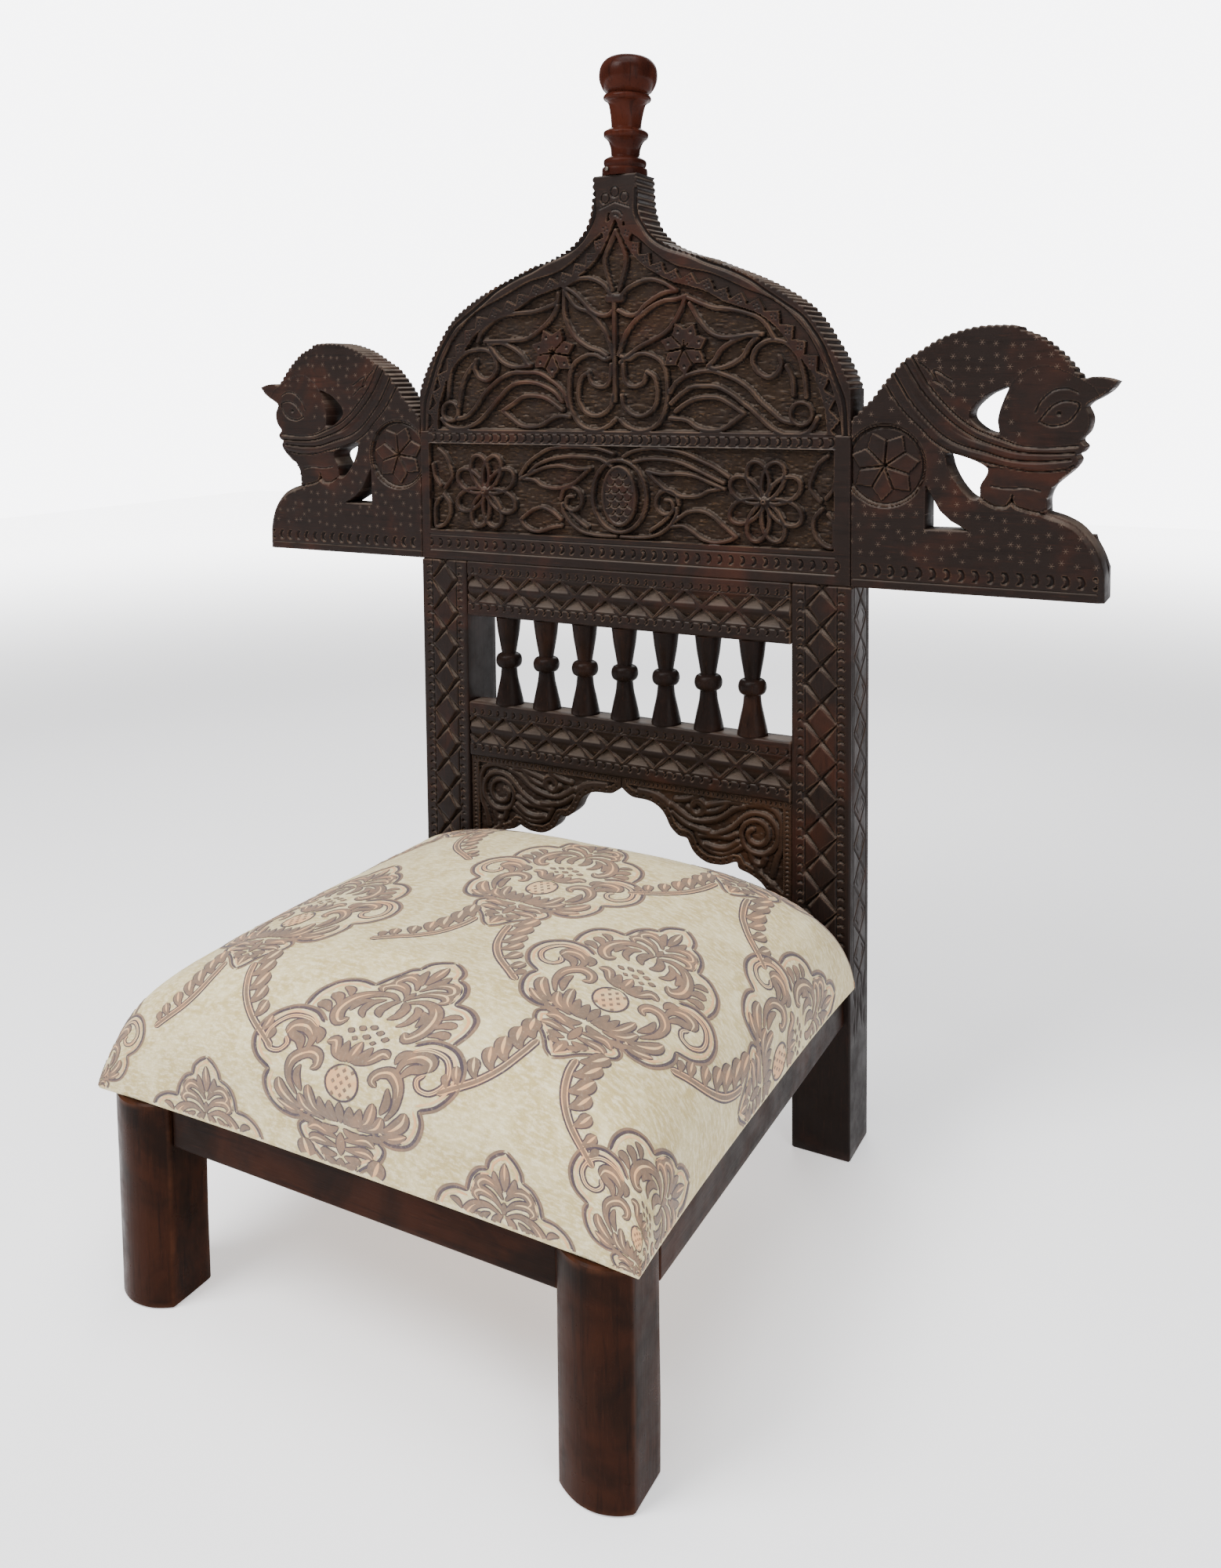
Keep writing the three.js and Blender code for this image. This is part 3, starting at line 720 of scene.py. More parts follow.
DARK, RED = linear(25, 17, 14), linear(48, 25, 17)
DUST, WORN = linear(41, 31, 23), linear(116, 90, 70)
carved_x = wood("carved_wood_across", 0, DARK, RED, 0.5, DUST, WORN)
carved_z = wood("carved_wood_upright", 2, DARK, RED, 0.5, DUST, WORN)
bracket_wood = wood("carved_wood_bracket", 0, linear(34, 24, 18), linear(56, 36, 24), 0.5,
                    linear(60, 47, 34), WORN)
PLAIN, RUBBED = (linear(25, 14, 9), linear(46, 23, 13)), linear(96, 58, 38)
plain_x = wood("plain_wood_across", 0, *PLAIN, 0.36, None, RUBBED, 0.42)
plain_y = wood("plain_wood_deep", 1, *PLAIN, 0.36, None, RUBBED, 0.42)
plain_z = wood("plain_wood_upright", 2, *PLAIN, 0.34, None, RUBBED, 0.42)
turned_dark = wood("turned_wood_dark", 2, linear(23, 17, 15), linear(40, 25, 19), 0.34, None, RUBBED, 0.5)
turned_red = wood("turned_wood_red", 2, linear(34, 15, 11), linear(54, 24, 16), 0.26, None, RUBBED, 0.4)
fabric = cloth("seat_fabric_cream")
figure = figured("seat_fabric_figure")


# ---------- crest board: dome and panel ----------
DOME_EDGE = [(25.5, 974), (26, 960), (28, 940), (33, 925), (40, 915), (50, 906), (60, 900), (80, 892),
             (100, 886), (120, 878), (140, 870), (160, 861), (180, 850), (200, 836), (214, 820),
             (225, 803), (235, 787), (243, 772), (249, 757)]
SEAM = 711.0  # where the dome's field meets the panel
HALF = 248.8  # half the width of the dome and the panel
EDGE_GROOVE = [(24, 958), (24, 935), (32, 919), (42, 907), (57, 898), (83, 889), (101, 881), (123, 873),
               (146, 862), (162, 851), (183, 837), (200, 825), (212, 810), (221, 796), (228, 780),
               (235, 762), (242, 742), (244, 712)]
EDGE_RIDGE = [(11, 936), (15, 921), (30, 909), (48, 894), (66, 883), (83, 878), (105, 873), (126, 864),
              (148, 854), (166, 847), (182, 837), (194, 826), (208, 810), (219, 791), (226, 775),
              (233, 755), (240, 730), (242, 712)]
BAND = [(0, 930), (4, 921), (9, 909), (17, 896), (28, 884), (41, 875), (62, 864), (80, 859), (101, 852),
        (119, 842), (139, 835), (157, 828), (173, 816), (187, 800), (199, 785), (210, 771), (217, 755),
        (223, 735), (225, 712)]
SPRAYS = [
    [(-3, 745), (-3, 853)], [(0, 918), (-8, 903), (-13, 891), (-12, 880), (-5, 858)],
    [(0, 918), (7, 903), (11, 891), (10, 880), (3, 858)],
    [(-62, 864), (-45, 871), (-30, 871), (-15, 864), (-6, 853)],
    [(-62, 864), (-50, 857), (-40, 848), (-30, 838), (-20, 833), (-10, 833), (-3, 838)],
    [(67, 855), (54, 863), (40, 867), (27, 865), (13, 859), (4, 850)],
    [(67, 855), (54, 853), (43, 848), (32, 841), (24, 833), (13, 832), (2, 837)],
    [(-62, 860), (-48, 843), (-33, 837), (-23, 828), (-14, 816), (-8, 803), (-5, 791)],
    [(-62, 860), (-62, 837), (-57, 823), (-48, 810), (-33, 800), (-21, 796), (-12, 791)],
    [(78, 849), (66, 846), (54, 845), (41, 840), (29, 832), (20, 825), (11, 814), (6, 803), (2, 792)],
    [(78, 849), (73, 837), (66, 825), (56, 814), (41, 806), (27, 800), (15, 792), (4, 784)],
    [(-69, 857), (-71, 848), (-83, 843), (-101, 839), (-123, 838), (-141, 835), (-155, 828), (-166, 819),
     (-171, 809)],
    [(-70, 844), (-76, 834), (-85, 825), (-96, 817), (-108, 811), (-126, 809), (-162, 809)],
    [(81, 847), (95, 841), (109, 836), (127, 834), (143, 830), (156, 825), (165, 816), (171, 805)],
    [(82, 841), (90, 828), (97, 819), (106, 811), (118, 807), (131, 807), (147, 809), (159, 809)],
    [(-157, 806), (-141, 807), (-126, 801), (-116, 794), (-108, 784), (-105, 782)],
    [(-155, 803), (-146, 792), (-137, 785), (-124, 781), (-105, 782)],
    [(154, 808), (143, 808), (127, 802), (116, 795), (109, 785), (102, 779)],
    [(154, 806), (147, 800), (140, 789), (129, 781), (111, 776), (102, 779)],
    [(-211, 750), (-210, 764), (-207, 778), (-196, 791), (-185, 798), (-173, 800), (-162, 800),
     (-153, 796), (-148, 787), (-148, 778), (-155, 769), (-162, 767), (-171, 771), (-176, 780),
     (-174, 789)],
    [(-178, 784), (-187, 773), (-193, 760), (-196, 748), (-198, 739)],
    [(204, 748), (203, 762), (200, 776), (195, 789), (184, 800), (171, 803), (161, 801), (152, 794),
     (149, 784), (154, 773), (165, 767), (174, 771), (179, 780), (177, 787)],
    [(184, 778), (190, 766), (191, 750)],
    [(-199, 725), (-187, 728), (-176, 737), (-166, 750), (-155, 760), (-142, 769), (-126, 775),
     (-110, 775), (-94, 774), (-80, 767), (-69, 759), (-62, 750), (-58, 739)],
    [(-221, 725), (-212, 717), (-199, 714), (-185, 716), (-171, 723), (-157, 735), (-144, 748),
     (-132, 759), (-119, 764), (-101, 764), (-87, 760), (-74, 753), (-66, 744)],
    [(60, 753), (66, 762), (77, 769), (91, 773), (106, 774), (120, 770), (134, 764), (147, 755),
     (157, 744), (168, 735), (179, 726), (190, 723)],
    [(61, 742), (72, 751), (84, 758), (99, 759), (113, 758), (127, 751), (138, 743), (149, 735),
     (159, 726), (170, 717), (184, 711), (199, 712), (209, 717), (215, 728)],
    [(-140, 734), (-126, 742), (-114, 749), (-101, 750), (-87, 748), (-76, 742), (-66, 735)],
    [(-140, 734), (-128, 725), (-116, 718), (-101, 717), (-89, 720), (-78, 726), (-67, 729), (-57, 728)],
]
HEART = [
    [(5, 790), (14, 787), (24, 792), (35, 792), (48, 786), (55, 776), (57, 762), (57, 746), (53, 732),
     (46, 721), (35, 715), (23, 714), (10, 719), (3, 725)],
    [(5, 750), (8, 739), (17, 731), (28, 729), (39, 734), (45, 744), (46, 757), (42, 769), (34, 774)],
    [(33, 771), (30, 763), (21, 759), (12, 761), (8, 769), (7, 782)],
]
RIGHT_LEAF = [[(140, 732), (126, 741), (114, 747), (101, 748), (87, 746), (76, 741), (66, 734)],
              [(140, 732), (128, 723), (116, 716), (101, 715), (89, 718), (78, 725), (60, 727)]]
FLOWER_ANGLES = (115, 70, 18, -38, -92, -148, 160)
GROUND = -6.5  # depth of the sunk ground
TOOTH = 19.0  # pitch of the saw band


def circle(x, z, radius, wide=1.0, count=28):
    a = np.linspace(0, 2 * math.pi, count)
    return np.column_stack([x + radius * wide * np.cos(a), z + radius * np.sin(a)])


def saw_band(work, path):
    """A flat band with teeth on its outer side, each with four punched dots."""
    line = smooth(path, 3)
    at, dist, along, side = work.measure(line, 20)
    out = dist * side
    tooth = np.abs((along / TOOTH) % 1 * 2 - 1)
    on = (out > 0) & (out < 5 + 9 * tooth)
    work.h[at[on]] = -0.2
    phase = ((along / TOOTH) % 1 - 0.5) * TOOTH
    shifted = phase - np.sign(phase) * TOOTH / 2
    for ds, dd in ((0, 4.0), (0, 9.0), (-2.6, 6.3), (2.6, 6.3)):
        r = np.hypot(shifted - ds, out - dd)
        work.h[at] -= 1.3 * np.clip(1 - (r / 1.35) ** 2, 0, 1)


def carve_dome(work):
    left, right = smooth(mirrored(BAND), 4), smooth(BAND, 4)
    field = np.vstack([left[::-1], right])
    ridge_left, ridge_right = smooth(mirrored(EDGE_RIDGE), 4), smooth(EDGE_RIDGE, 4)
    rim = np.vstack([ridge_left[::-1], ridge_right])
    work.level(rim, -4.4)
    work.ridge(ridge_left, 4.2, 0, 0.4)
    work.ridge(ridge_right, 4.2, 0, 0.4)
    saw_band(work, mirrored(BAND)[::-1])
    saw_band(work, BAND)
    ground = inside(work.p, field)
    work.h[ground] = GROUND
    work.chisel(ground, 1.8, 11)
    work.groove(smooth(EDGE_GROOVE), 5, 3.2)
    work.groove(smooth(mirrored(EDGE_GROOVE)), 5, 3.2)
    for line in SPRAYS + RIGHT_LEAF:
        work.ridge(smooth(line), 4.0)
    for line in HEART:
        work.ridge(smooth(line), 3.8)
        work.ridge(smooth(mirrored(line)), 3.8)
    work.ridge(circle(-209, 733, 10.5), 3.3)
    work.ridge(circle(199, 732, 11), 3.3)
    work.ridge(np.array([(-9.0, 850), (4, 850)]), 8, 0)
    for cx, cz in ((-76, 795), (76, 797)):
        for degrees in FLOWER_ANGLES:
            a = math.radians(degrees if cx < 0 else 180 - degrees)
            work.kite((cx, cz), a, 1.5, 27, 15.5, -0.2)
            work.dot(cx + 18 * math.cos(a), cz + 18 * math.sin(a), 2.2, 2.2)
    for cx, cz in ((-11, 951), (0, 957), (11, 951)):
        work.groove(circle(cx, cz, 5.2, 0.9), 2.2, 1.6)
    work.groove(np.array([(-17.0, 941), (0, 947), (17, 941)]), 2.2, 1.4)
    work.ridge(np.array([(-226.0, 712.2), (226, 712.2)]), 3.0, -0.3)
    edge = np.abs(work.p[:, 0]) > 243
    work.h[edge] = np.minimum(work.h[edge], 0)


ARCS = [
    [(-119, 665), (-110, 677), (-98, 686), (-82, 694), (-62, 696), (-41, 696), (-23, 695), (-5, 690)],
    [(-108, 668), (-96, 677), (-80, 683), (-60, 686), (-41, 686), (-21, 684), (-8, 677)],
    [(6, 687), (18, 693), (36, 696), (56, 695), (75, 692), (93, 685), (109, 678), (124, 669)],
    [(18, 682), (34, 685), (54, 685), (72, 682), (90, 675), (106, 668), (118, 663)],
    [(-119, 661), (-101, 669), (-87, 674), (-69, 676), (-51, 673), (-33, 674)],
    [(-114, 661), (-101, 660), (-91, 654), (-73, 652), (-57, 656), (-46, 663), (-35, 673)],
    [(119, 657), (101, 664), (87, 669), (69, 671), (51, 670), (33, 673)],
    [(114, 657), (101, 654), (91, 649), (73, 648), (57, 653), (46, 661), (35, 671)],
    [(-119, 617), (-110, 624), (-101, 629), (-91, 631), (-80, 627), (-69, 619)],
    [(-119, 617), (-114, 610), (-103, 605), (-91, 606), (-80, 610), (-69, 612)],
    [(61, 620), (70, 627), (81, 633), (95, 634), (107, 629), (118, 620), (131, 610)],
    [(61, 617), (74, 618), (84, 613), (95, 606), (109, 603), (124, 606), (131, 610)],
]
CURLS = [
    [(67, 636), (65, 626), (56, 615), (42, 607), (24, 604), (3, 604)],
    [(57, 627), (49, 620), (37, 612)],
    [(69, 640), (66, 650), (57, 654), (47, 650), (43, 641), (47, 632), (56, 629), (63, 634), (61, 643),
     (54, 644)],
    [(218, 648), (208, 661), (211, 674), (217, 685), (226, 692)],
    [(234, 674), (231, 660), (224, 651)],
    [(226, 636), (231, 629), (232, 615), (230, 604), (219, 608), (212, 619), (212, 631), (220, 641)],
]
LOOP_ANGLES = (70, 108, 152, 205, 252, 290, 335, 30)


def loop_petal(centre, degrees, length, width):
    """A looped petal that starts and ends at the flower's centre."""
    a = np.linspace(0.25, 2 * math.pi - 0.25, 26)
    along = length * (1 - np.cos(a)) / 2
    across = width / 2 * np.sin(a) * np.sqrt(np.sin(a / 2))
    t = math.radians(degrees)
    d = np.array([math.cos(t), math.sin(t)])
    return np.array(centre) + np.outer(along, d) + np.outer(across, (-d[1], d[0]))


def carve_panel(work):
    x, z = work.p.T
    sunk = (x > -237) & (x < 232) & (z > 601) & (z < 697)
    work.h[sunk] = GROUND
    work.chisel(sunk, 1.8, 21)
    for cx in (-164, 162):
        for degrees in LOOP_ANGLES:
            work.ridge(loop_petal((cx, 646), degrees, 41, 26), 3.6)
        work.dot(cx, 646, 5, -4.5)
        work.dot(cx, 646, 1.6, 2)
    for line in ARCS:
        work.ridge(smooth(line), 3.5)
    for line in CURLS:
        work.ridge(smooth(line), 3.4)
        work.ridge(smooth(mirrored(line)), 3.4)
    oval = np.hypot((x - 1) / 18, (z - 646) / 30) < 1
    work.h[oval] = -1.4
    for k in range(-4, 5):
        for i in (-1.5, -0.5, 0.5, 1.5) if k % 2 else (-1, 0, 1):
            cx, cz = 1 + i * 9.5, 646 + k * 7.6
            if math.hypot((cx - 1) / 15, (cz - 646) / 27) < 1:
                work.groove(circle(cx, cz, 4.6)[14:], 1.8, 1.7)
    work.ridge(circle(1, 646, 30, 0.62, 40), 3.6, 0)
    work.ridge(circle(1, 646, 37.5, 0.84, 44), 3.8, 0)
    for row, pitch in ((704.5, 10.7), (587, 12.1)):
        start = -236 if row > 600 else -243
        work.crescents(x, z - row, start, -start, pitch, 1, 4.4, 2.4)
    for line in (699.3, 709.8, 578.5, 595.5):
        work.groove(np.array([(-238.0, line), (234, line)]), 1.7, 1.2)


def dome_loop():
    right = reeded(DOME_EDGE[::-1], inward=1)
    left = reeded(mirrored(DOME_EDGE), inward=1)
    foot = DOME_EDGE[-1][1]
    base = straight([(-HALF, foot), (-HALF, SEAM), (HALF, SEAM), (HALF, foot)])
    top = straight([right[-1], left[0]])
    return np.vstack([base, right[:-1], top, left[:-1]])


board_thick = node_box("crest_board")[1][1]
carved_board("crest_dome", [dome_loop()], carve_dome, 0, board_thick, 1.2, carved_x, "carved_wood",
             "crest_board")
panel_loop = straight([(-HALF, CREST_FOOT), (HALF, CREST_FOOT), (HALF, SEAM), (-HALF, SEAM),
                       (-HALF, CREST_FOOT)])
carved_board("crest_panel", [panel_loop], carve_panel, 0, board_thick, 1.1, carved_x, "carved_wood",
             "crest_board")


# ---------- crest board: the two horses ----------
MANE = [(249.4, 727), (263, 741), (270, 748), (280, 761), (290, 773), (300, 783), (309, 788), (319, 794),
        (331, 801), (347, 807), (364, 811), (381, 812), (399, 811), (405, 807), (419, 801), (428, 794),
        (437, 786), (445, 777), (452, 768), (457, 763)]
FACE = [(458, 739), (462, 729), (460, 718), (454, 710), (458, 704), (455, 699), (451, 697), (453, 692),
        (448, 684), (437, 674), (431, 668), (427, 658), (427, 646)]
PLANK_END = [(427, 645), (440, 641), (453, 634), (464, 622), (471, 609), (475, 594), (475.6, 582)]
THROAT = [(393, 757), (383, 754), (373, 749), (362, 739), (359, 731), (362, 725), (371, 718), (380, 715),
          (385, 716), (384, 727), (386, 737), (390, 748)]
CHEST = [(341, 697), (339, 689), (344, 676), (352, 664), (361, 656), (368, 657), (369, 668), (374, 685)]
NOTCH = [(319.7, 626), (359, 626.5), (343, 635), (333, 644), (320, 667)]
ROPES = [
    [(281, 760), (297, 737), (316, 718), (326, 708), (345, 697), (378, 688), (415, 682), (440, 684),
     (449, 688)],
    [(290, 770), (304, 746), (318, 729), (335, 713), (352, 704), (374, 698), (395, 692), (421, 691),
     (446, 693)],
    [(300, 779), (314, 756), (330, 737), (347, 722), (364, 711), (383, 704), (404, 699), (430, 698),
     (449, 699)],
    [(307, 784), (321, 760), (337, 741), (352, 727), (368, 717), (387, 710), (405, 704), (430, 703),
     (452, 705)],
]
EYE = [(419, 726), (430, 739), (440, 744), (449, 743), (453, 741), (451, 734), (443, 725), (430, 722),
       (419, 726)]
BROW = [(416, 734), (421, 744), (431, 753), (443, 755), (452, 751)]
MUZZLE = [(375, 686), (415, 682), (448, 685), (437, 674), (431, 668), (427, 658), (427, 648), (419, 645),
          (409, 647), (400, 650), (396, 654), (392, 650), (383, 649), (374, 653), (368, 660), (369, 668)]


HEAD = [(385, 716), (394, 757), (420, 775), (452, 764), (470, 745), (462, 700), (430, 700)]
ROSETTE = np.array([281.0, 684.0])
PETALS = 7
HORSE_THICK = 32
PLANK_X = (249.4, 475.7)
PLANK_TOP = 624.5


def carve_muzzle(work):
    """Sinks the muzzle and cuts its lines; says which points are in it."""
    muzzle = inside(work.p, MUZZLE)
    work.h[muzzle] = -2.2
    work.groove(smooth([(424, 644), (419, 645), (409, 647), (400, 650), (396, 656)], 2), 3, 3)
    work.groove(smooth([(396, 656), (392, 650), (383, 649), (374, 653), (366, 660)], 2), 3, 3)
    work.groove(smooth([(396, 652), (397, 660)], 2), 2.4, 2)
    work.groove(smooth([(378, 668), (392, 666), (408, 667), (421, 665)], 2), 2.6, 1.2)
    return muzzle


def carve_neck(work):
    """The rope bands of the bridle and the locks above them."""
    for low, high in zip(ROPES[:-1], ROPES[1:]):
        middle = smooth((np.array(low) + np.array(high)) / 2.0)
        work.ridge(middle, 9.5, 0.9, 2.4)
    for line in ROPES:
        work.groove(smooth(line), 2.6, 1.8)
    work.groove(smooth([(314, 779), (322, 772), (330, 761), (327, 772), (343, 763)], 1.5), 2.4, 1.6)
    work.groove(smooth([(326, 763), (335, 758), (343, 751)], 1.5), 2.2, 1.6)


def carve_eye(work):
    work.groove(smooth(EYE), 2.2, 1.6)
    work.groove(smooth(BROW), 2.2, 1.3)
    work.dot(436, 733, 2.6, 2.6)
    work.groove(smooth([(460, 741), (470, 747), (481, 757)], 2), 2.2, 1)


def carve_rosette(work, r):
    """A round flower of kites; r is the points' distance from its centre."""
    work.h[r < 37.5] = -3.2
    for k in range(PETALS):
        work.kite(ROSETTE, math.radians(8 + k * 360 / PETALS), 1.5, 33, 21, -0.5)
    for k in range(PETALS):
        a = math.radians(8 + (k + 0.5) * 360 / PETALS)
        work.groove([ROSETTE, ROSETTE + (23 * math.cos(a), 23 * math.sin(a))], 2.8, 2.2)
    for radius in (38.8, 35.6):
        work.groove(circle(*ROSETTE, radius, 1, 60), 2.0, 1.5)


def carve_horse(work):
    x, z = work.p.T
    work.h += 0.5 * (value_noise(work.p, 26.0, 31) - 0.5)
    work.h[inside(work.p, smooth(HEAD, 4, True))] -= 0.8
    muzzle = carve_muzzle(work)
    carve_neck(work)
    carve_eye(work)
    r = np.hypot(*(work.p - ROSETTE).T)
    carve_rosette(work, r)
    work.crescents(x, z - 585, 254, 470, 13.0, 1, 5.2, 2.4)
    work.groove(np.array([(250.0, 576.5), (470, 576.5)]), 1.6, 0.9)
    end = smooth(PLANK_END + [(475.7, 569)], 2)
    at, dist, _, _ = work.measure(end, 8)
    work.h[at] -= 3.2 * np.clip(1 - dist / 5.5, 0, 1)
    rope = inside(work.p, ROPES[0] + ROPES[3][::-1])
    face = (x > 404) & (z > 645) & (z < 762)
    work.punch[:] = ~(rope | face | muzzle | (r < 41) | (z < 597) | (z > 806))


def horse_loop():
    mane = reeded(MANE, 6.7, 2.0, inward=-1)
    ear = smooth([(457, 763), (464, 765), (474, 764), (484, 761)], 1.2)
    under = smooth([(484, 761), (479, 754), (471, 748), (462, 743), (458, 739)], 1.2)
    face = smooth(FACE, 1.2)
    end = smooth(PLANK_END, 1.4)
    near, far = PLANK_X
    base = straight([(far, 581), (far, CREST_FOOT), (near, CREST_FOOT), MANE[0]])
    return np.vstack([mane[:-1], ear[:-1], under[:-1], face[:-1], end[:-1], base])[::-1]


def plank_back():
    """The plank is thicker than the horse: this is its extra depth behind."""
    near, far = PLANK_X
    outline = straight([(near, CREST_FOOT), (far, CREST_FOOT), (far, 596)], 6)
    top = smooth([(far, 596), (471, 609), (464, 622)], 3)[:-1]
    side = straight([(464, PLANK_TOP), (near, PLANK_TOP), (near, CREST_FOOT)], 6)
    return np.vstack([outline, top, side])


for side_name, sign in SIDES:
    loops = [horse_loop(), smooth(THROAT, 1.3, True), smooth(CHEST, 1.3, True),
             straight(NOTCH + NOTCH[:1], 1.3)]
    loops = [loop * [sign, 1] for loop in loops]
    backing = slab([plank_back() * [sign, 1]], HORSE_THICK - 0.2, board_thick)
    carved_board(f"crest_horse_{side_name}", loops, on_side(carve_horse, sign), 0, HORSE_THICK, 1.15,
                 carved_x, "carved_wood", "crest_board", backing=backing)


# ---------- posts, legs and rails ----------
SEAT_TOP = 176.0
LATTICE = 37.15  # height of one X on a post
X_LINE = 564.0  # height of the top X
CROSSES = 12


def border_lines(work, *lines):
    """Grooves up the whole carved height of a post, as (place, width, depth)."""
    for edge, width, depth in lines:
        work.groove([(edge, SEAT_TOP), (edge, 567)], width, depth)


def carve_post_front(work):
    s, t = work.p.T
    for edge in (9, 50):
        work.crescents(t, s - edge, 178, 566, 9.0, 1, 3.0, 2.0)
    border_lines(work, (13.8, 1.5, 1.0), (46.2, 1.5, 1.0))
    for k in range(CROSSES):
        z = X_LINE - k * LATTICE
        for dz in (-17.5, 17.5):
            work.cut((30, z), (14.5, z + dz), 8.5, 1.4, 4.8)
            work.cut((45.5, z + dz), (30, z), 8.5, 1.4, 4.8)


def carve_post_side(work):
    border_lines(work, (5, 1.6, 1.4), (53, 1.6, 1.4), (9.5, 1.4, 0.9), (48.5, 1.4, 0.9))
    for k in range(CROSSES):
        z = X_LINE - 10 - k * LATTICE
        for ds in (-19, 19):
            for dz in (-18.6, 18.6):
                work.cut((29, z), (29 + ds, z + dz), 3.2, 2.6, 1.7)
                work.cut((29 + ds * 0.25, z + dz * 0.62), (29 + ds * 0.62, z + dz), 2.2, 1.2, 1.1)


post_low, post_high = node_box("rear_post_right")
post_width, post_depth = post_high[0] - post_low[0], post_high[1] - post_low[1]
post_stations = stations_between(0, TOP_OF_POSTS, SEAT_TOP, TOP_OF_POSTS - 3, 1.25)
for side_name, sign in SIDES:
    def stand(points, sign=sign):
        return np.column_stack([sign * (points[:, 0] + post_low[0]), points[:, 1], points[:, 2]])

    carved_bar(f"post_{side_name}", post_width, post_depth, (1.2, 1.25, 8, 8), post_stations,
               {0: carve_post_front, 1: carve_post_side}, stand, carved_z, "carved_wood",
               f"rear_post_{side_name}")


def carve_back_rail(work):
    s, t = work.p.T  # up the rail, along the rail
    height = 60.5
    middle = height / 2
    for edge in (10, height - 10):
        work.crescents(t, s - edge, -187, 187, 10.2, 1, 3.0, 2.0)
    half, pitch, fall = 16.5, 36.75, 7.5  # half the lattice's width, its pitch and its depth
    off = np.abs(s - middle)
    phase = ((t + 163) / pitch + 0.5) % 1 - 0.5  # 0 at a crossing
    rib_at = np.abs(phase) * pitch - off / half * pitch / 2
    carved = off < half
    diamond = rib_at > 0
    facet = np.where(diamond, -fall * off / half, -fall * (1 - off / half))
    facet = np.where(diamond, np.minimum(facet, -0.6), facet)
    rib = np.abs(rib_at) < 2.2
    work.h[carved] = np.where(rib, -0.2, facet)[carved]
    for edge in (middle - half, middle + half):
        work.groove(np.array([(edge, -189.0), (edge, 189)]), 1.6, 1.0)


rail_half = post_low[0] - JOINT_GAP
for node in ("lower_back_rail", "upper_back_rail"):
    box_low, box_high = node_box(node)

    def lay_front(points, base=box_low):
        """The bar's first side becomes the rail's carved front."""
        return np.column_stack([points[:, 2], points[:, 1] + base[1], points[:, 0] + base[2]])

    carved_bar(f"carved_{node}", box_high[2] - box_low[2], box_high[1] - box_low[1], (1.15, 6, 8, 6),
               stations_between(-rail_half, rail_half, -rail_half + 3, rail_half - 3, 1.2),
               {0: carve_back_rail}, lay_front, carved_x, "carved_wood", node)


def soften(work):
    """The slight hollows and swellings of a hand-planed face."""
    work.h += 0.7 * (value_noise(work.p, np.array([24.0, 60.0]), 41) - 0.5)


def plain_bar(name, width, depth, start, stop, place, material, node):
    every = {k: soften for k in range(4)}
    carved_bar(name, width, depth, (5, 5, 5, 5), stations_between(start, stop, start + 3, stop - 3, 9),
               every, place, material, "plain_wood", node)


leg_low, leg_high = node_box("front_leg_right")
rail_low, rail_high = node_box("side_seat_rail_right")
rail_bottom, rail_top = rail_low[2], rail_high[2]
rail_thick = 24.0
for side_name, sign in SIDES:
    def along_y(points, sign=sign, inner=rail_high[0] - rail_thick):
        return np.column_stack([sign * (points[:, 0] + inner), points[:, 2], points[:, 1] + rail_bottom])

    plain_bar(f"seat_rail_{side_name}", rail_thick, rail_top - rail_bottom, leg_high[1] + JOINT_GAP,
              -JOINT_GAP, along_y, plain_y, f"side_seat_rail_{side_name}")
for node, half in (("front_seat_rail", leg_low[0] - JOINT_GAP), ("rear_seat_rail", rail_half)):
    front_y = node_box(node)[0][1]

    def along_x(points, front_y=front_y):
        return np.column_stack([points[:, 2], points[:, 0] + front_y, points[:, 1] + rail_bottom])

    plain_bar(f"planed_{node}", rail_thick, rail_top - rail_bottom, -half, half, along_x, plain_x, node)


def leg_section(bow=12.0, radius=3.0):
    """Plan of a front leg with a bowed front: points and outward normals."""
    width = leg_high[0] - leg_low[0]
    back, front = leg_high[1], leg_high[1] - 42.0
    x = np.linspace(leg_low[0] + 0.8, leg_high[0] - 0.8, 26)
    u = (x - leg_low[0]) / width * 2 - 1
    curve = np.column_stack([x, front - bow * (1 - u * u)])
    right = [(leg_high[0], y) for y in np.linspace(front + 1.2, back - radius, 8)]
    right += [(leg_high[0] - 0.9, back - 0.9)]
    rear = [(q, back) for q in np.linspace(leg_high[0] - radius, leg_low[0] + radius, 10)]
    rear += [(leg_low[0] + 0.9, back - 0.9)]
    left = [(leg_low[0], y) for y in np.linspace(back - radius, front + 1.2, 8)]
    points = np.vstack([curve, right, rear, left])
    d = np.roll(points, -1, axis=0) - np.roll(points, 1, axis=0)
    normals = np.column_stack([d[:, 1], -d[:, 0]])
    return points, normals / np.linalg.norm(normals, axis=1, keepdims=True)


for side_name, sign in SIDES:
    points, normals = leg_section()
    stations = np.concatenate([[0], np.linspace(1.6, SEAT_TOP - 1.6, 30), [SEAT_TOP]])
    lay_out = np.column_stack([np.tile(np.arange(len(points)) * 4.0, len(stations)),
                               np.repeat(stations, len(points))])
    dents = 0.9 * (value_noise(lay_out, np.array([22.0, 55.0]), 51 + sign) - 0.5)
    leg_points, leg_faces = sweep(points, normals, stations, dents.reshape(len(stations), -1))
    leg_points[:, 0] *= sign
    make(f"leg_{side_name}", leg_points, leg_faces, plain_z, "plain_wood", f"front_leg_{side_name}",
         angle=40)


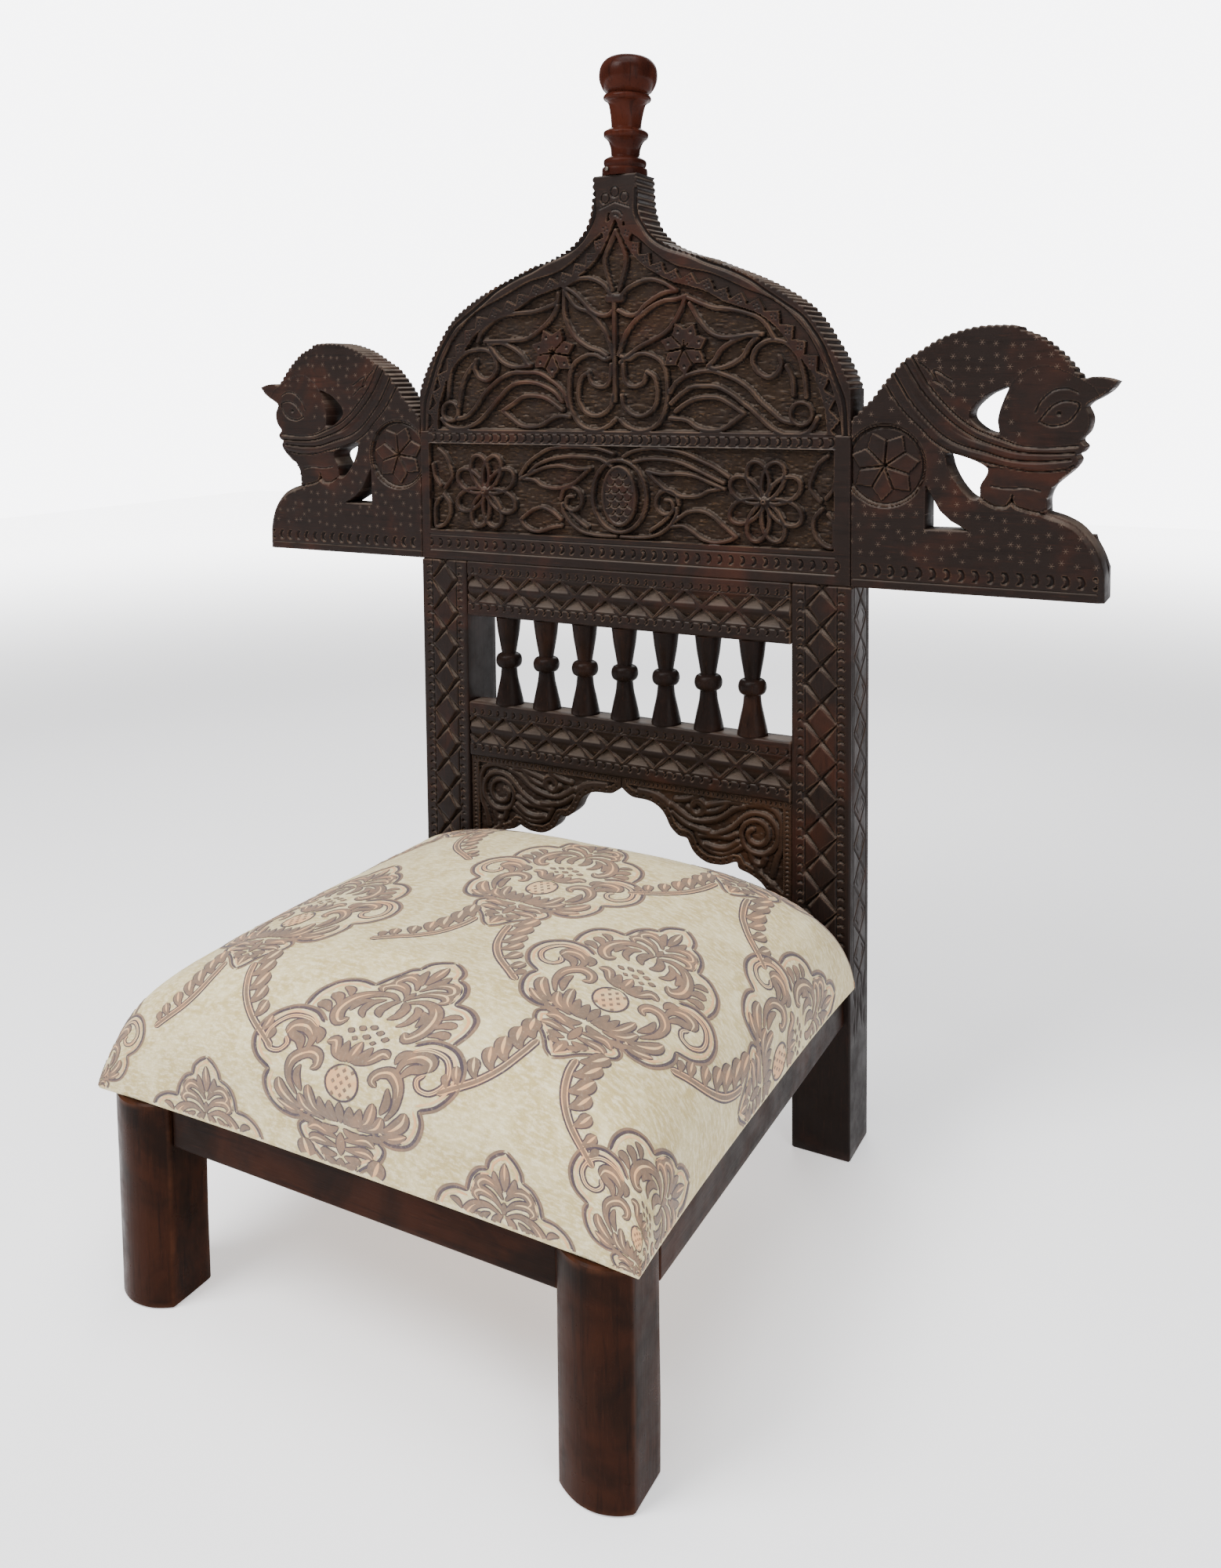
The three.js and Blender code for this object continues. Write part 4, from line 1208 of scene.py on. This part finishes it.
# ---------- brackets ----------
BRACKET_EDGE = [(0.4, 349.7), (0.4, 338), (7, 333), (14, 330), (31, 329), (40, 326), (47, 321), (52, 314),
                (56, 306), (62, 300), (67, 297), (75, 296), (78, 291), (82, 284), (89, 278), (99, 274),
                (112, 274), (120, 276), (130, 280), (133, 274), (145, 270), (156, 264), (165, 255),
                (172, 253), (178, 244), (181, 230), (183, 219), (189.4, 202), (189.4, 349.7)]
SCROLL = [(80, 309), (102, 304), (115, 308), (126, 315), (134, 323), (142, 330), (152, 333), (163, 331),
          (171, 324), (174, 315), (173, 306), (168, 298), (159, 292), (148, 292), (140, 296), (136, 304),
          (135, 312), (139, 320), (147, 325), (155, 325), (162, 320), (164, 312), (160, 304), (152, 301),
          (144, 304), (142, 311), (147, 316)]
FLOW = [
    [(142, 340), (158, 342), (171, 338), (178, 327), (178, 315), (177, 300), (172, 288), (168, 272)],
    [(58, 328), (70, 320), (80, 316), (94, 316), (108, 320), (118, 326), (128, 334), (139, 338)],
    [(59, 320), (70, 312), (83, 307), (99, 306)], [(98, 333), (110, 337), (122, 340), (134, 341)],
    [(96, 326), (106, 328), (115, 333), (122, 340)],
    [(86, 302), (91, 292), (102, 286), (115, 285), (126, 290), (135, 296)],
    [(96, 292), (108, 290), (120, 292), (131, 300)], [(87, 300), (102, 302), (120, 303), (130, 308)],
    [(145, 291), (148, 283), (156, 281), (160, 288)], [(150, 279), (158, 268), (170, 262)],
    [(20, 338), (34, 337), (46, 333), (56, 326)], [(62, 334), (74, 336), (88, 342)],
    [(76, 328), (84, 322), (92, 325), (93, 332), (86, 335), (82, 331)],
]


def carve_bracket(work):
    x, z = work.p.T
    edge = smooth(BRACKET_EDGE[1:-1], 2)
    at, dist, _, _ = work.measure(edge, 12)
    ground = (z < 342.5) & (x < 180)
    near_edge = np.zeros(len(x), bool)
    near_edge[at[dist < 7.5]] = True
    ground &= ~near_edge
    work.h[ground] = -3.6
    work.chisel(ground, 1.2, 61)
    for line in FLOW:
        work.ridge(smooth(line), 5.2, -0.3, 1.2)
    work.ridge(smooth(SCROLL), 4.4, -0.2, 1.0)
    work.ridge(circle(88, 330, 8), 3.0)
    work.crescents(x, z - 346.3, 4, 188, 5.2, 1, 1.9, 1.6)
    work.crescents(z, x - 184.5, 205, 342, 4.6, 1, 1.9, 1.6)
    rim, dist, along, _ = work.measure(edge, 6)
    bead = np.abs((along / 8.0) % 1 - 0.5) * 8
    work.h[rim] -= 1.2 * np.clip(1 - (np.hypot(bead, dist - 3.8) / 1.7) ** 2, 0, 1)


bracket_low, bracket_high = node_box("scroll_bracket_right")
for side_name, sign in SIDES:
    low_edge = smooth(BRACKET_EDGE[1:-1], 1.2)
    rest = straight(BRACKET_EDGE[-2:] + BRACKET_EDGE[:2])
    loop = np.vstack([low_edge[:-1], rest]) * [sign, 1]
    carved_board(f"carved_bracket_{side_name}", [loop], on_side(carve_bracket, sign), bracket_low[1],
                 bracket_high[1] - bracket_low[1], 1.1, bracket_wood, "carved_wood",
                 f"scroll_bracket_{side_name}")


# ---------- spindles and finial ----------
def turned_profile(parts):
    """One profile from parts that meet at sharp lines."""
    return np.vstack([smooth(part, 1.0) for part in parts])


LOW_Z, HIGH_Z = 410.8, 507.2  # the spindles' shoulders
MID = (LOW_Z + HIGH_Z) / 2
SPINDLE = [
    [(15.4, LOW_Z), (15.3, LOW_Z + 3), (12.6, LOW_Z + 16), (9.8, LOW_Z + 29), (8.7, MID - 9.5)],
    [(8.3 + 6.1 * math.cos(a) ** 0.8, MID + 7.8 * math.sin(a)) for a in np.linspace(-1.5, 1.5, 15)],
    [(8.0, MID + 8.5), (9.8, MID + 19), (12.0, MID + 32), (13.3, HIGH_Z - 5), (13.9, HIGH_Z)],
]
for k in range(7):
    node = f"spindle_{k + 1}"
    box_low, box_high = node_box(node)
    lathe(f"turned_{node}", turned_profile(SPINDLE), (box_low[0] / 2 + box_high[0] / 2, 13.5, 0), 40,
          turned_dark, "turned_wood", node)

finial_base = 974.3
FINIAL = [
    [(23.5, -6), (23.5, 6), (22.6, 8.2), (21.2, 9.2)], [(21.3, 9.8), (22.2, 13), (21.2, 16.6), (14.8, 20.2)],
    [(14.6, 20.8), (15.4, 28), (17.5, 34), (19.4, 36.6)],
    [(19.8, 37.2), (22.4, 39.2), (23.1, 42), (22.6, 44.6), (18.4, 47.3)],
    [(15.6, 48.8), (15.4, 50), (16.4, 60), (18.6, 71), (20.4, 74.2)],
    [(20.8, 74.8), (23.8, 76.6), (24.7, 79), (23.7, 81.4), (21.2, 82.8)],
    [(21.4, 83.2), (25.5, 87), (29, 94.5), (30, 101.5), (28.6, 110), (23.4, 117), (15, 120.8), (6, 121.4),
     (3, 120.4), (0.6, 120)],
]
lathe("turned_finial", turned_profile(FINIAL), (1, board_thick / 2, finial_base), 72, turned_red,
      "turned_wood", "finial", tilt=3.0, floor=finial_base)


# ---------- seat pad ----------
pad_low, pad_high = node_box("seat_cover")
PAD_MID = (pad_low[1] + pad_high[1]) / 2
PAD_HALF = np.array([pad_high[0], (pad_high[1] - pad_low[1]) / 2])
RIM = pad_low[2] + 3.0
CROWN = pad_high[2] - RIM - 0.6
SIDE_ROUND, FRONT_ROUND, BACK_ROUND = (2.3, 3.5), (10, 1.7), (11, 2.4)
CLOTH_STEP = 2.7
HELD_HEIGHT = 34  # the cloth is tacked at its rim, and freer up to this height
POST_FACE, POST_NEAR = 190, 150  # the swell behind fades between these distances from the middle
SWELL = 6.2
SIM_FRAMES = 18
SKIRT = ((0.4, 1.6), (1.8, 3.2), (25, 2.9))  # the cloth turned under the pad: how far in, how far down


def crown(u, power, root):
    """Height of the pad's arc, from 1 in the middle to 0 at u = 1 and -1."""
    return np.maximum(0, 1 - np.abs(u) ** power) ** (1 / root)


def arc_table(half, shape):
    """Places from the middle to the edge, and the length of cloth from the middle to each."""
    u = np.sin(np.linspace(0, math.pi / 2, 1500))
    height = CROWN * crown(u, *shape)
    return u, length_along(np.column_stack([u * half, height]))


def pad_surface(s, t):
    """Points of the pad over the cloth coordinates s (across) and t (front to back), from the middle."""
    def place(value, half, shape):
        u, length = arc_table(half, shape)
        return np.sign(value) * np.interp(np.abs(value), length, u)
    u = place(s, PAD_HALF[0], SIDE_ROUND)
    v = np.where(t > 0, place(t, PAD_HALF[1], BACK_ROUND), place(t, PAD_HALF[1], FRONT_ROUND))
    lift = crown(u, *SIDE_ROUND) * np.where(t > 0, crown(v, *BACK_ROUND), crown(v, *FRONT_ROUND))
    low = 1 - lift
    pull_x = 5.0 * low * (1 - np.abs(v) ** 3)  # the sides draw in between the corners
    drawn = 4.0 * (1 - np.abs(u) ** 3)
    near_post = np.clip((np.abs(u) * PAD_HALF[0] - POST_NEAR) / (POST_FACE - POST_NEAR), 0, 1)
    swell = SWELL * (1 - near_post**2 * (3 - 2 * near_post))  # over the rear rail, between the posts
    pull_y = low * np.where(v > 0, -swell, drawn)
    x = u * PAD_HALF[0] - np.sign(u) * np.abs(u) ** 4 * pull_x
    y = PAD_MID + v * PAD_HALF[1] - np.sign(v) * np.abs(v) ** 6 * pull_y
    return np.stack([x, y, RIM + CROWN * lift], axis=-1)


REACH = arc_table(PAD_HALF[0], SIDE_ROUND)[1][-1]
REACH_BACK = arc_table(PAD_HALF[1], BACK_ROUND)[1][-1]
REACH_FRONT = arc_table(PAD_HALF[1], FRONT_ROUND)[1][-1]


def pad_grid(step):
    """Cloth coordinates of a grid over the pad."""
    s = np.linspace(-REACH, REACH, round(2 * REACH / step))
    t = np.linspace(-REACH_FRONT, REACH_BACK, round((REACH_FRONT + REACH_BACK) / step))
    return s, t


def grid_faces(rows, columns):
    i = np.arange(rows - 1)[:, None] * columns + np.arange(columns - 1)[None, :]
    return np.stack([i, i + 1, i + columns + 1, i + columns], axis=-1).reshape(-1, 4).tolist()


def set_cloth(modifier):
    """Cloth under pressure from the stuffing, held at its rim."""
    settings = modifier.settings
    settings.quality = 6
    settings.mass = 0.3
    settings.tension_stiffness = settings.compression_stiffness = 14
    settings.bending_stiffness = 1.5
    settings.use_pressure = True
    settings.uniform_pressure_force = 2.5
    settings.vertex_group_mass = "held"
    settings.effector_weights.gravity = 0
    modifier.collision_settings.use_collision = False


def simulated_offsets(step=8.0, cap=5.0):
    """How far each point of the cover moves in the cloth simulation, at most cap."""
    scene = bpy.context.scene
    s, t = pad_grid(step)
    flat_s, flat_t = np.meshgrid(s, t)
    rest = pad_surface(flat_s, flat_t)
    rows, columns = flat_s.shape
    mesh = bpy.data.meshes.new("cover_rest")
    mesh.from_pydata(to_row(rest.reshape(-1, 3)).tolist(), [], grid_faces(rows, columns))
    obj = bpy.data.objects.new("cover_rest", mesh)
    bpy.context.scene.collection.objects.link(obj)
    held = obj.vertex_groups.new(name="held")
    tall = rest[..., 2].ravel() - RIM
    for i in np.flatnonzero(tall < HELD_HEIGHT):
        held.add([int(i)], float(np.clip(1.3 - tall[i] / HELD_HEIGHT, 0, 1)), "REPLACE")
    set_cloth(obj.modifiers.new("cloth", "CLOTH"))
    for number in range(1, SIM_FRAMES + 1):
        scene.frame_set(number)
    shaped = obj.evaluated_get(bpy.context.evaluated_depsgraph_get()).to_mesh()
    co = np.zeros(len(shaped.vertices) * 3)
    shaped.vertices.foreach_get("co", co)
    moved = co.reshape(-1, 3) / MM - [0, FRONT, 0] - rest.reshape(-1, 3)
    scene.frame_set(1)
    bpy.data.objects.remove(obj)
    bpy.data.meshes.remove(mesh)
    size = np.linalg.norm(moved, axis=1, keepdims=True)
    moved *= cap * np.tanh(size / cap) / np.maximum(size, 1e-6)
    return s, t, moved.reshape(rows, columns, 3)


def sample(s_axis, t_axis, grid, s, t):
    """Values of a grid at cloth coordinates, blended between its points."""
    i = np.clip(np.searchsorted(s_axis, s) - 1, 0, len(s_axis) - 2)
    j = np.clip(np.searchsorted(t_axis, t) - 1, 0, len(t_axis) - 2)
    a = np.clip((s - s_axis[i]) / (s_axis[i + 1] - s_axis[i]), 0, 1)[..., None]
    b = np.clip((t - t_axis[j]) / (t_axis[j + 1] - t_axis[j]), 0, 1)[..., None]
    low_row = grid[j, i] * (1 - a) + grid[j, i + 1] * a
    high_row = grid[j + 1, i] * (1 - a) + grid[j + 1, i + 1] * a
    return low_row * (1 - b) + high_row * b


def cover_points():
    s, t = pad_grid(CLOTH_STEP)
    flat_s, flat_t = np.meshgrid(s, t)
    points = pad_surface(flat_s, flat_t)
    points = points + sample(*simulated_offsets(), flat_s, flat_t)
    flat = np.column_stack([flat_s.ravel(), flat_t.ravel()])
    soft = value_noise(flat, 70.0, 71) + 0.5 * value_noise(flat, 34.0, 72) - 0.75
    share = np.clip((points[..., 2] - RIM) / 40, 0, 1)
    points[..., 2] += 2.6 * soft.reshape(share.shape) * share
    return s, t, points


def surface_normals(points):
    across = np.gradient(points, axis=1)
    along = np.gradient(points, axis=0)
    normal = np.cross(across, along)
    return normal / np.maximum(np.linalg.norm(normal, axis=-1, keepdims=True), 1e-9)


def pad_mesh():
    """The cover with its turned-under skirt: points, faces and cloth coordinates."""
    rows, columns = cover.shape[:2]
    flat_s, flat_t = np.meshgrid(cloth_s, cloth_t)
    points = cover.reshape(-1, 3)
    cloth_at = np.column_stack([flat_s.ravel(), flat_t.ravel(), np.zeros(rows * columns)]) * MM
    index = np.arange(rows * columns).reshape(rows, columns)
    ring = np.concatenate([index[0, :-1], index[:-1, -1], index[-1, :0:-1], index[:0:-1, 0]])
    edge, previous = points[ring], ring
    faces = grid_faces(rows, columns)
    for inset, drop in SKIRT:
        start = len(points)
        scale = 1 - inset / PAD_HALF
        lower = np.column_stack([edge[:, 0] * scale[0], PAD_MID + (edge[:, 1] - PAD_MID) * scale[1],
                                 np.full(len(ring), RIM - drop)])
        for i in range(len(ring)):
            j = (i + 1) % len(ring)
            faces.append([int(previous[j]), int(previous[i]), start + i, start + j])
        previous = np.arange(start, start + len(ring))
        points = np.vstack([points, lower])
        cloth_at = np.vstack([cloth_at, cloth_at[ring] * (1 + inset * 0.003)])
    return points, faces, cloth_at


cloth_s, cloth_t, cover = cover_points()
cover_normal = surface_normals(cover)
points, faces, cloth_at = pad_mesh()
seat = make("seat_pad", points, faces, fabric, "seat_fabric", "seat_cover", "seat_foam", angle=70,
            closed=False, cloth=cloth_at)

# ---------- the figure in the cloth ----------
GARLAND_PATH = [(17, 219), (20, 236), (28, 256), (42, 274), (62, 289), (72, 296)]
# Half a medallion: x from its axis, y down from its tip. (kind, width, points)
MOTIF = [
    ("frame", 2.8, [(0, 0), (8, 5), (14, 12), (16, 21)]),
    ("frame", 2.8, [(16, 21), (25, 25), (32, 35), (35, 48)]),
    ("frame", 2.8, [(35, 48), (48, 49), (60, 57), (65, 70), (64, 84)]),
    ("frame", 2.8, [(40, 94), (53, 87), (70, 88), (83, 100), (86, 118), (78, 134), (64, 143)]),
    ("frame", 2.8, [(64, 143), (67, 153), (64, 166), (56, 177), (43, 181), (32, 177), (26, 169)]),
    ("frame", 2.2, [(30, 182), (36, 188), (32, 198), (22, 206), (14, 214), (7, 223), (0, 228)]),
    ("band", 5.0, [(42, 99), (54, 94), (68, 96), (76, 106), (77, 117), (70, 126), (61, 126), (57, 119),
                   (61, 113)]),
    ("leaf", 8, [(0, 36), (0, 24), (0, 9)]),
    ("leaf", 6, [(2, 38), (8, 30), (10, 20)]),
    ("drop", 8, [(1, 44), (9, 34), (19, 31), (25, 37), (21, 43)]),
    ("drop", 8, [(1, 54), (10, 45), (22, 42), (28, 47), (24, 52)]),
    ("leaf", 5, [(0, 46), (0, 58)]),
    ("leaf", 7, [(1, 58), (7, 64), (8, 72), (3, 78)]),
    ("drop", 10, [(3, 59), (15, 54), (28, 58), (36, 69), (37, 82), (30, 90), (24, 85)]),
    ("leaf", 6, [(13, 60), (20, 66), (20, 76), (14, 82)]),
    ("leaf", 6, [(22, 63), (29, 70), (29, 79)]),
    ("drop", 7, [(41, 77), (47, 70), (55, 68)]),
    ("drop", 7, [(43, 84), (51, 79), (58, 80)]),
    ("leaf", 5, [(40, 66), (45, 60), (52, 59)]),
    ("dot", 5, [(0, 85), (0, 90)]), ("dot", 5, [(7, 88), (8, 93)]), ("dot", 5, [(14, 92), (15, 97)]),
    ("dot", 5, [(0, 94), (0, 99)]), ("dot", 4, [(7, 98), (8, 102)]),
    ("leaf", 8, [(0, 121), (0, 111), (0, 101)]),
    ("leaf", 7, [(2, 121), (8, 113), (10, 103)]),
    ("drop", 8, [(4, 121), (13, 116), (20, 106), (28, 108)]),
    ("drop", 10, [(40, 120), (41, 108), (50, 101), (60, 103), (62, 111)]),
    ("leaf", 7, [(44, 122), (49, 113), (57, 110), (64, 104)]),
    ("leaf", 6, [(35, 112), (36, 104), (44, 99)]),
    ("drop", 9, [(38, 160), (46, 146), (46, 130), (37, 120), (27, 122), (24, 130), (29, 134)]),
    ("leaf", 6, [(34, 156), (39, 144), (38, 132)]),
    ("leaf", 7, [(0, 176), (0, 166), (0, 156)]),
    ("leaf", 7, [(3, 176), (8, 166), (9, 157)]),
    ("leaf", 7, [(5, 176), (15, 167), (18, 156)]),
    ("drop", 8, [(8, 176), (22, 168), (27, 156), (28, 148)]),
    ("drop", 8, [(14, 177), (30, 170), (36, 158)]),
    ("drop", 10, [(30, 172), (42, 168), (52, 158), (55, 148)]),
    ("leaf", 8, [(33, 176), (44, 175), (56, 168)]),
    ("leaf", 6, [(22, 180), (30, 180), (38, 177)]),
    ("leaf", 6, [(2, 180), (9, 184), (17, 181)]),
    ("drop", 8, [(3, 190), (12, 187), (22, 184), (29, 188)]),
    ("drop", 8, [(3, 197), (12, 196), (22, 195), (28, 198)]),
    ("drop", 7, [(3, 204), (10, 205), (18, 204)]),
    ("leaf", 7, [(0, 184), (0, 194), (0, 204)]),
    ("leaf", 9, [(0, 206), (0, 215), (0, 224)]),
    ("leaf", 6, [(3, 212), (9, 211), (14, 208)]),
    ("band", 7.5, GARLAND_PATH),
]
# Leaves that hang on the outer side of the garland: place along it (0 to 1) and size.
GARLAND = [(0.0, 20), (0.16, 20), (0.32, 19), (0.47, 17), (0.62, 15), (0.77, 13), (0.9, 10)]
COLUMNS = [(-323, -58), (-150, -190), (23, -58), (165, -188), (307, -54)]  # tips, chair frame
FRONT_MEDALLION = (COLUMNS[2][0], -1)  # its column, and its place in the repeat
REPEAT = 322.0
STROKE_STEP = 1.9
OVAL = (14, 16, 139)  # half width, half height and middle of the medallion's eye
SHADE_LINE, SHADE_BODY, SHADE_LIGHT = 0.0, 1.0, 2.0
FRONT_TURN, FRONT_PULL = -149.0, 0.83  # where the cloth turns down in front, and how far it is pulled
FULL = 1.15  # how full the leaves are woven


def widths(kind, n):
    """Share of the full width along a stroke of that kind."""
    t = np.linspace(0, 1, n)
    if kind == "leaf":
        return np.sin(math.pi * t) ** 0.75
    if kind == "drop":
        return np.sin(math.pi * np.clip(t, 0, 1) ** 1.7) ** 0.7 * 0.8 + 0.2 * (t > 0) * (t < 1)
    if kind == "dot":
        return np.sqrt(np.maximum(0, 1 - (2 * t - 1) ** 2))
    return np.minimum(1, np.minimum(t, 1 - t) * n / 2 + 0.25)


def stroke(line, width, kind, lift, shade, grow=0.0):
    """One strip of figure: (cloth coordinates, lift, shade, faces)."""
    n = len(line)
    half = width / 2 * widths(kind, n) + grow
    side = side_normals(line)
    rows_of = [line + side * half[:, None], line, line - side * half[:, None]]
    flat = np.stack(rows_of, axis=1).reshape(-1, 2)
    raise_by = np.tile([lift, lift + 0.16, lift], n)
    i = np.arange(n - 1)[:, None] * 3 + np.arange(2)[None, :]
    quads = np.stack([i, i + 1, i + 4, i + 3], axis=-1).reshape(-1, 4)
    return flat, raise_by, np.full(3 * n, shade), quads


def motif_strokes():
    """Every strip of a whole medallion, about its axis and down from its tip."""
    found = []

    def add(line, width, kind):
        if kind == "frame":
            found.append(stroke(line, width, kind, 0.18, SHADE_LINE))
            found.append(stroke(line - side_normals(line) * 2.2, width * 0.8, kind, 0.26, SHADE_BODY))
            found.append(stroke(line + side_normals(line) * 3.9, 2.2, kind, 0.18, SHADE_LIGHT))
        elif kind == "band":
            found.append(stroke(line, width, kind, 0.16, SHADE_LINE, 0.5))
            found.append(stroke(line, width - 2.2, kind, 0.3, SHADE_LIGHT))
            found.append(stroke(line, width - 4.2, kind, 0.4, SHADE_BODY))
        else:
            found.append(stroke(line, width * FULL, kind, 0.2, SHADE_LINE, 0.8))
            found.append(stroke(line, width * FULL - 0.9, kind, 0.34, SHADE_BODY))
            if width > 7.5:
                found.append(stroke(line[len(line) // 3:], width * 0.24, "leaf", 0.46, SHADE_LIGHT))

    for kind, width, raw in MOTIF:
        line = smooth(raw, STROKE_STEP)
        add(line, width, kind)
        if max(abs(x) for x, _ in raw) > 0.1:
            other = line * [-1, 1]
            add(other[::-1] if kind == "frame" else other, width, kind)
    garland = smooth(GARLAND_PATH, STROKE_STEP)
    for share, size in GARLAND:
        root = garland[int(share * (len(garland) - 1))]
        leaf = np.array([root + (3, 1), root + (0.55 * size, -0.35 * size),
                         root + (0.8 * size, -1.05 * size)])
        for sign in (1, -1):
            add(smooth(leaf * [sign, 1], STROKE_STEP), size * 0.66, "drop")
    wide, tall, middle = OVAL
    a = np.linspace(0, 2 * math.pi, 26)
    oval = np.column_stack([wide * np.sin(a), middle - tall * np.cos(a)])
    found.append(stroke(np.array([(0, 124.0), (0, 131), (0, 139), (0, 147), (0, 154)]), 27, "dot", 0.2,
                        SHADE_LIGHT))
    found.append(stroke(oval, 1.8, "frame", 0.36, SHADE_LINE))
    for k in range(-2, 3):
        for i in (-1, 0, 1) if k % 2 == 0 else (-0.5, 0.5):
            x, y = i * 7.2, middle + k * 5.4
            found.append(stroke(np.array([(x, y - 2.2), (x, y), (x, y + 2.2)]), 3.6, "dot", 0.4, SHADE_BODY))
    return found


def drawn_aside(flat):
    """Places of the medallion at the front, which the upholsterer pulled down and to one side."""
    share = np.clip(flat[:, 1] / 139, 0, 1)
    lean = share * share * (3 - 2 * share)
    return np.column_stack([42 + 1.1 * flat[:, 0] - 40 * lean, -129 - 0.86 * flat[:, 1]])


def drawn_in(place):
    """Places on the cloth in front, pulled down and in towards the middle."""
    over = np.minimum(place[:, 1] - FRONT_TURN, 0)
    x = place[:, 0] * (1 - 0.1 * np.clip(-over / 130, 0, 1))
    return np.column_stack([x, place[:, 1] - (1 - FRONT_PULL) * over])


def figure_mesh():
    strips = motif_strokes()
    flat_all, lift_all, shade_all, face_all, start = [], [], [], [], 0
    for cx, cy in COLUMNS:
        for turn in (-1, 0, 1):
            tip = np.array([cx, cy - PAD_MID + turn * REPEAT])
            for flat, raise_by, shade, quads in strips:
                at_front = (cx, turn) == FRONT_MEDALLION
                place = drawn_aside(flat) if at_front else drawn_in(tip + flat * [1, -1])
                inside_pad = ((np.abs(place[:, 0]) < REACH) & (place[:, 1] < REACH_BACK)
                              & (place[:, 1] > -REACH_FRONT))
                kept = quads[inside_pad[quads].all(1)]
                if len(kept) == 0:
                    continue
                flat_all.append(place)
                lift_all.append(raise_by)
                shade_all.append(shade)
                face_all.append(kept + start)
                start += len(place)
    flat = np.vstack(flat_all)
    lift = np.concatenate(lift_all)
    faces = np.vstack(face_all)
    used = np.unique(faces)
    renumber = np.zeros(len(flat), int)
    renumber[used] = np.arange(len(used))
    flat, lift, shade = flat[used], lift[used], np.concatenate(shade_all)[used]
    on = sample(cloth_s, cloth_t, cover, flat[:, 0], flat[:, 1])
    normal = sample(cloth_s, cloth_t, cover_normal, flat[:, 0], flat[:, 1])
    points = on + normal * lift[:, None]
    cloth_at = np.column_stack([flat, np.zeros(len(flat))]) * MM
    return points, renumber[faces], shade, cloth_at


points, faces, shade, cloth_at = figure_mesh()
make("seat_figure", points, faces.tolist(), figure, "seat_fabric", angle=80, closed=False, shade=shade,
     cloth=cloth_at)


# ---------- CAD pieces that keep their shape ----------
raw = timber("raw_timber", linear(150, 116, 80), linear(112, 80, 52), 0)
ply_sheet = timber("seat_board_timber", linear(196, 164, 118), linear(164, 128, 84), 1)
steel = metal("aged_steel")
KEPT = {"seat_board": ply_sheet, "finial_pin": steel}
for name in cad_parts:
    if name.startswith(("bracket_dowel", "corner_block")):
        KEPT[name] = raw
    if name.startswith("seat_screw"):
        KEPT[name] = steel
for name, material in KEPT.items():
    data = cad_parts[name].data
    if not data.materials:
        data.materials.append(material)
    for i in range(len(data.materials)):
        data.materials[i] = material


# ---------- floor, light and camera ----------
def floor():
    size = 6.0
    mesh = bpy.data.meshes.new("studio_floor")
    corners = [(-size, -size, 0), (size, -size, 0), (size, size, 0), (-size, size, 0)]
    mesh.from_pydata(corners, [], [(0, 1, 2, 3)])
    f = Finish("studio_floor")
    tone = f.noise(f.place, 2.0, 2)
    radius = f.vector("LENGTH", f.place)
    f.set(Base_Color=f.mix(tone, linear(240, 240, 242), linear(246, 246, 248)), Roughness=0.8)
    # The floor glows: painted light, faint near the chair and strong further out, so that it fades into the
    # backdrop.
    f.set(Emission_Color=linear(250, 250, 252), Emission_Strength=f.ramp(radius, 2.0, 5.6, 0.65, 6.0))
    mesh.materials.append(f.material)
    obj = bpy.data.objects.new("studio_floor", mesh)
    bpy.context.scene.collection.objects.link(obj)


def softbox(name, place, target, size, power):
    data = bpy.data.lights.new(name, "AREA")
    data.shape = "RECTANGLE"
    data.size, data.size_y = size
    data.energy = power
    obj = bpy.data.objects.new(name, data)
    obj.location = place
    obj.rotation_euler = (Vector(target) - Vector(place)).to_track_quat("-Z", "Y").to_euler()
    bpy.context.scene.collection.objects.link(obj)


def sky(strength, backdrop):
    """Even light all round, with a brighter plain backdrop behind the chair."""
    world = bpy.data.worlds.new("studio")
    world.use_nodes = True
    tree = world.node_tree
    back = tree.nodes["Background"]
    back.inputs[0].default_value = linear(250, 250, 253)
    seen = tree.nodes.new("ShaderNodeLightPath").outputs["Is Camera Ray"]
    level = tree.nodes.new("ShaderNodeMapRange")
    tree.links.new(seen, level.inputs[0])
    level.inputs[3].default_value = strength
    level.inputs[4].default_value = backdrop
    tree.links.new(level.outputs[0], back.inputs[1])
    bpy.context.scene.world = world


def camera():
    """The viewpoint, from the right and a little above the crest."""
    yaw, pitch, roll = (math.radians(a) for a in (28.22, -4.01, -0.57))
    ahead = Vector((-math.sin(yaw) * math.cos(pitch), math.cos(yaw) * math.cos(pitch), math.sin(pitch)))
    right = ahead.cross(Vector((0, 0, 1))).normalized()
    up = right.cross(ahead)
    x = right * math.cos(roll) + up * math.sin(roll)
    y = up * math.cos(roll) - right * math.sin(roll)
    data = bpy.data.cameras.new("camera")
    data.lens = 29.95
    data.sensor_width = 36
    data.shift_y = -0.2
    obj = bpy.data.objects.new("camera", data)
    place = Vector(to_row([628.9, -1185.9, 767.1]))
    obj.matrix_world = Matrix.Translation(place) @ Matrix((x, y, -ahead)).transposed().to_4x4()
    bpy.context.scene.collection.objects.link(obj)
    bpy.context.scene.camera = obj


floor()
sky(0.2, 7.0)
softbox("key", (-0.95, -1.6, 2.75), (0, 0.1, 0.6), (1.3, 1.3), 130)
softbox("fill", (2.4, -1.6, 1.5), (0, 0, 0.5), (1.4, 1.8), 40)
softbox("top", (0.2, -0.2, 2.8), (0, 0, 0.4), (1.6, 1.6), 62)
softbox("rear", (-0.8, 2.4, 2.0), (0, 0, 0.6), (1.6, 1.4), 30)
camera()

bpy.context.view_layer.update()
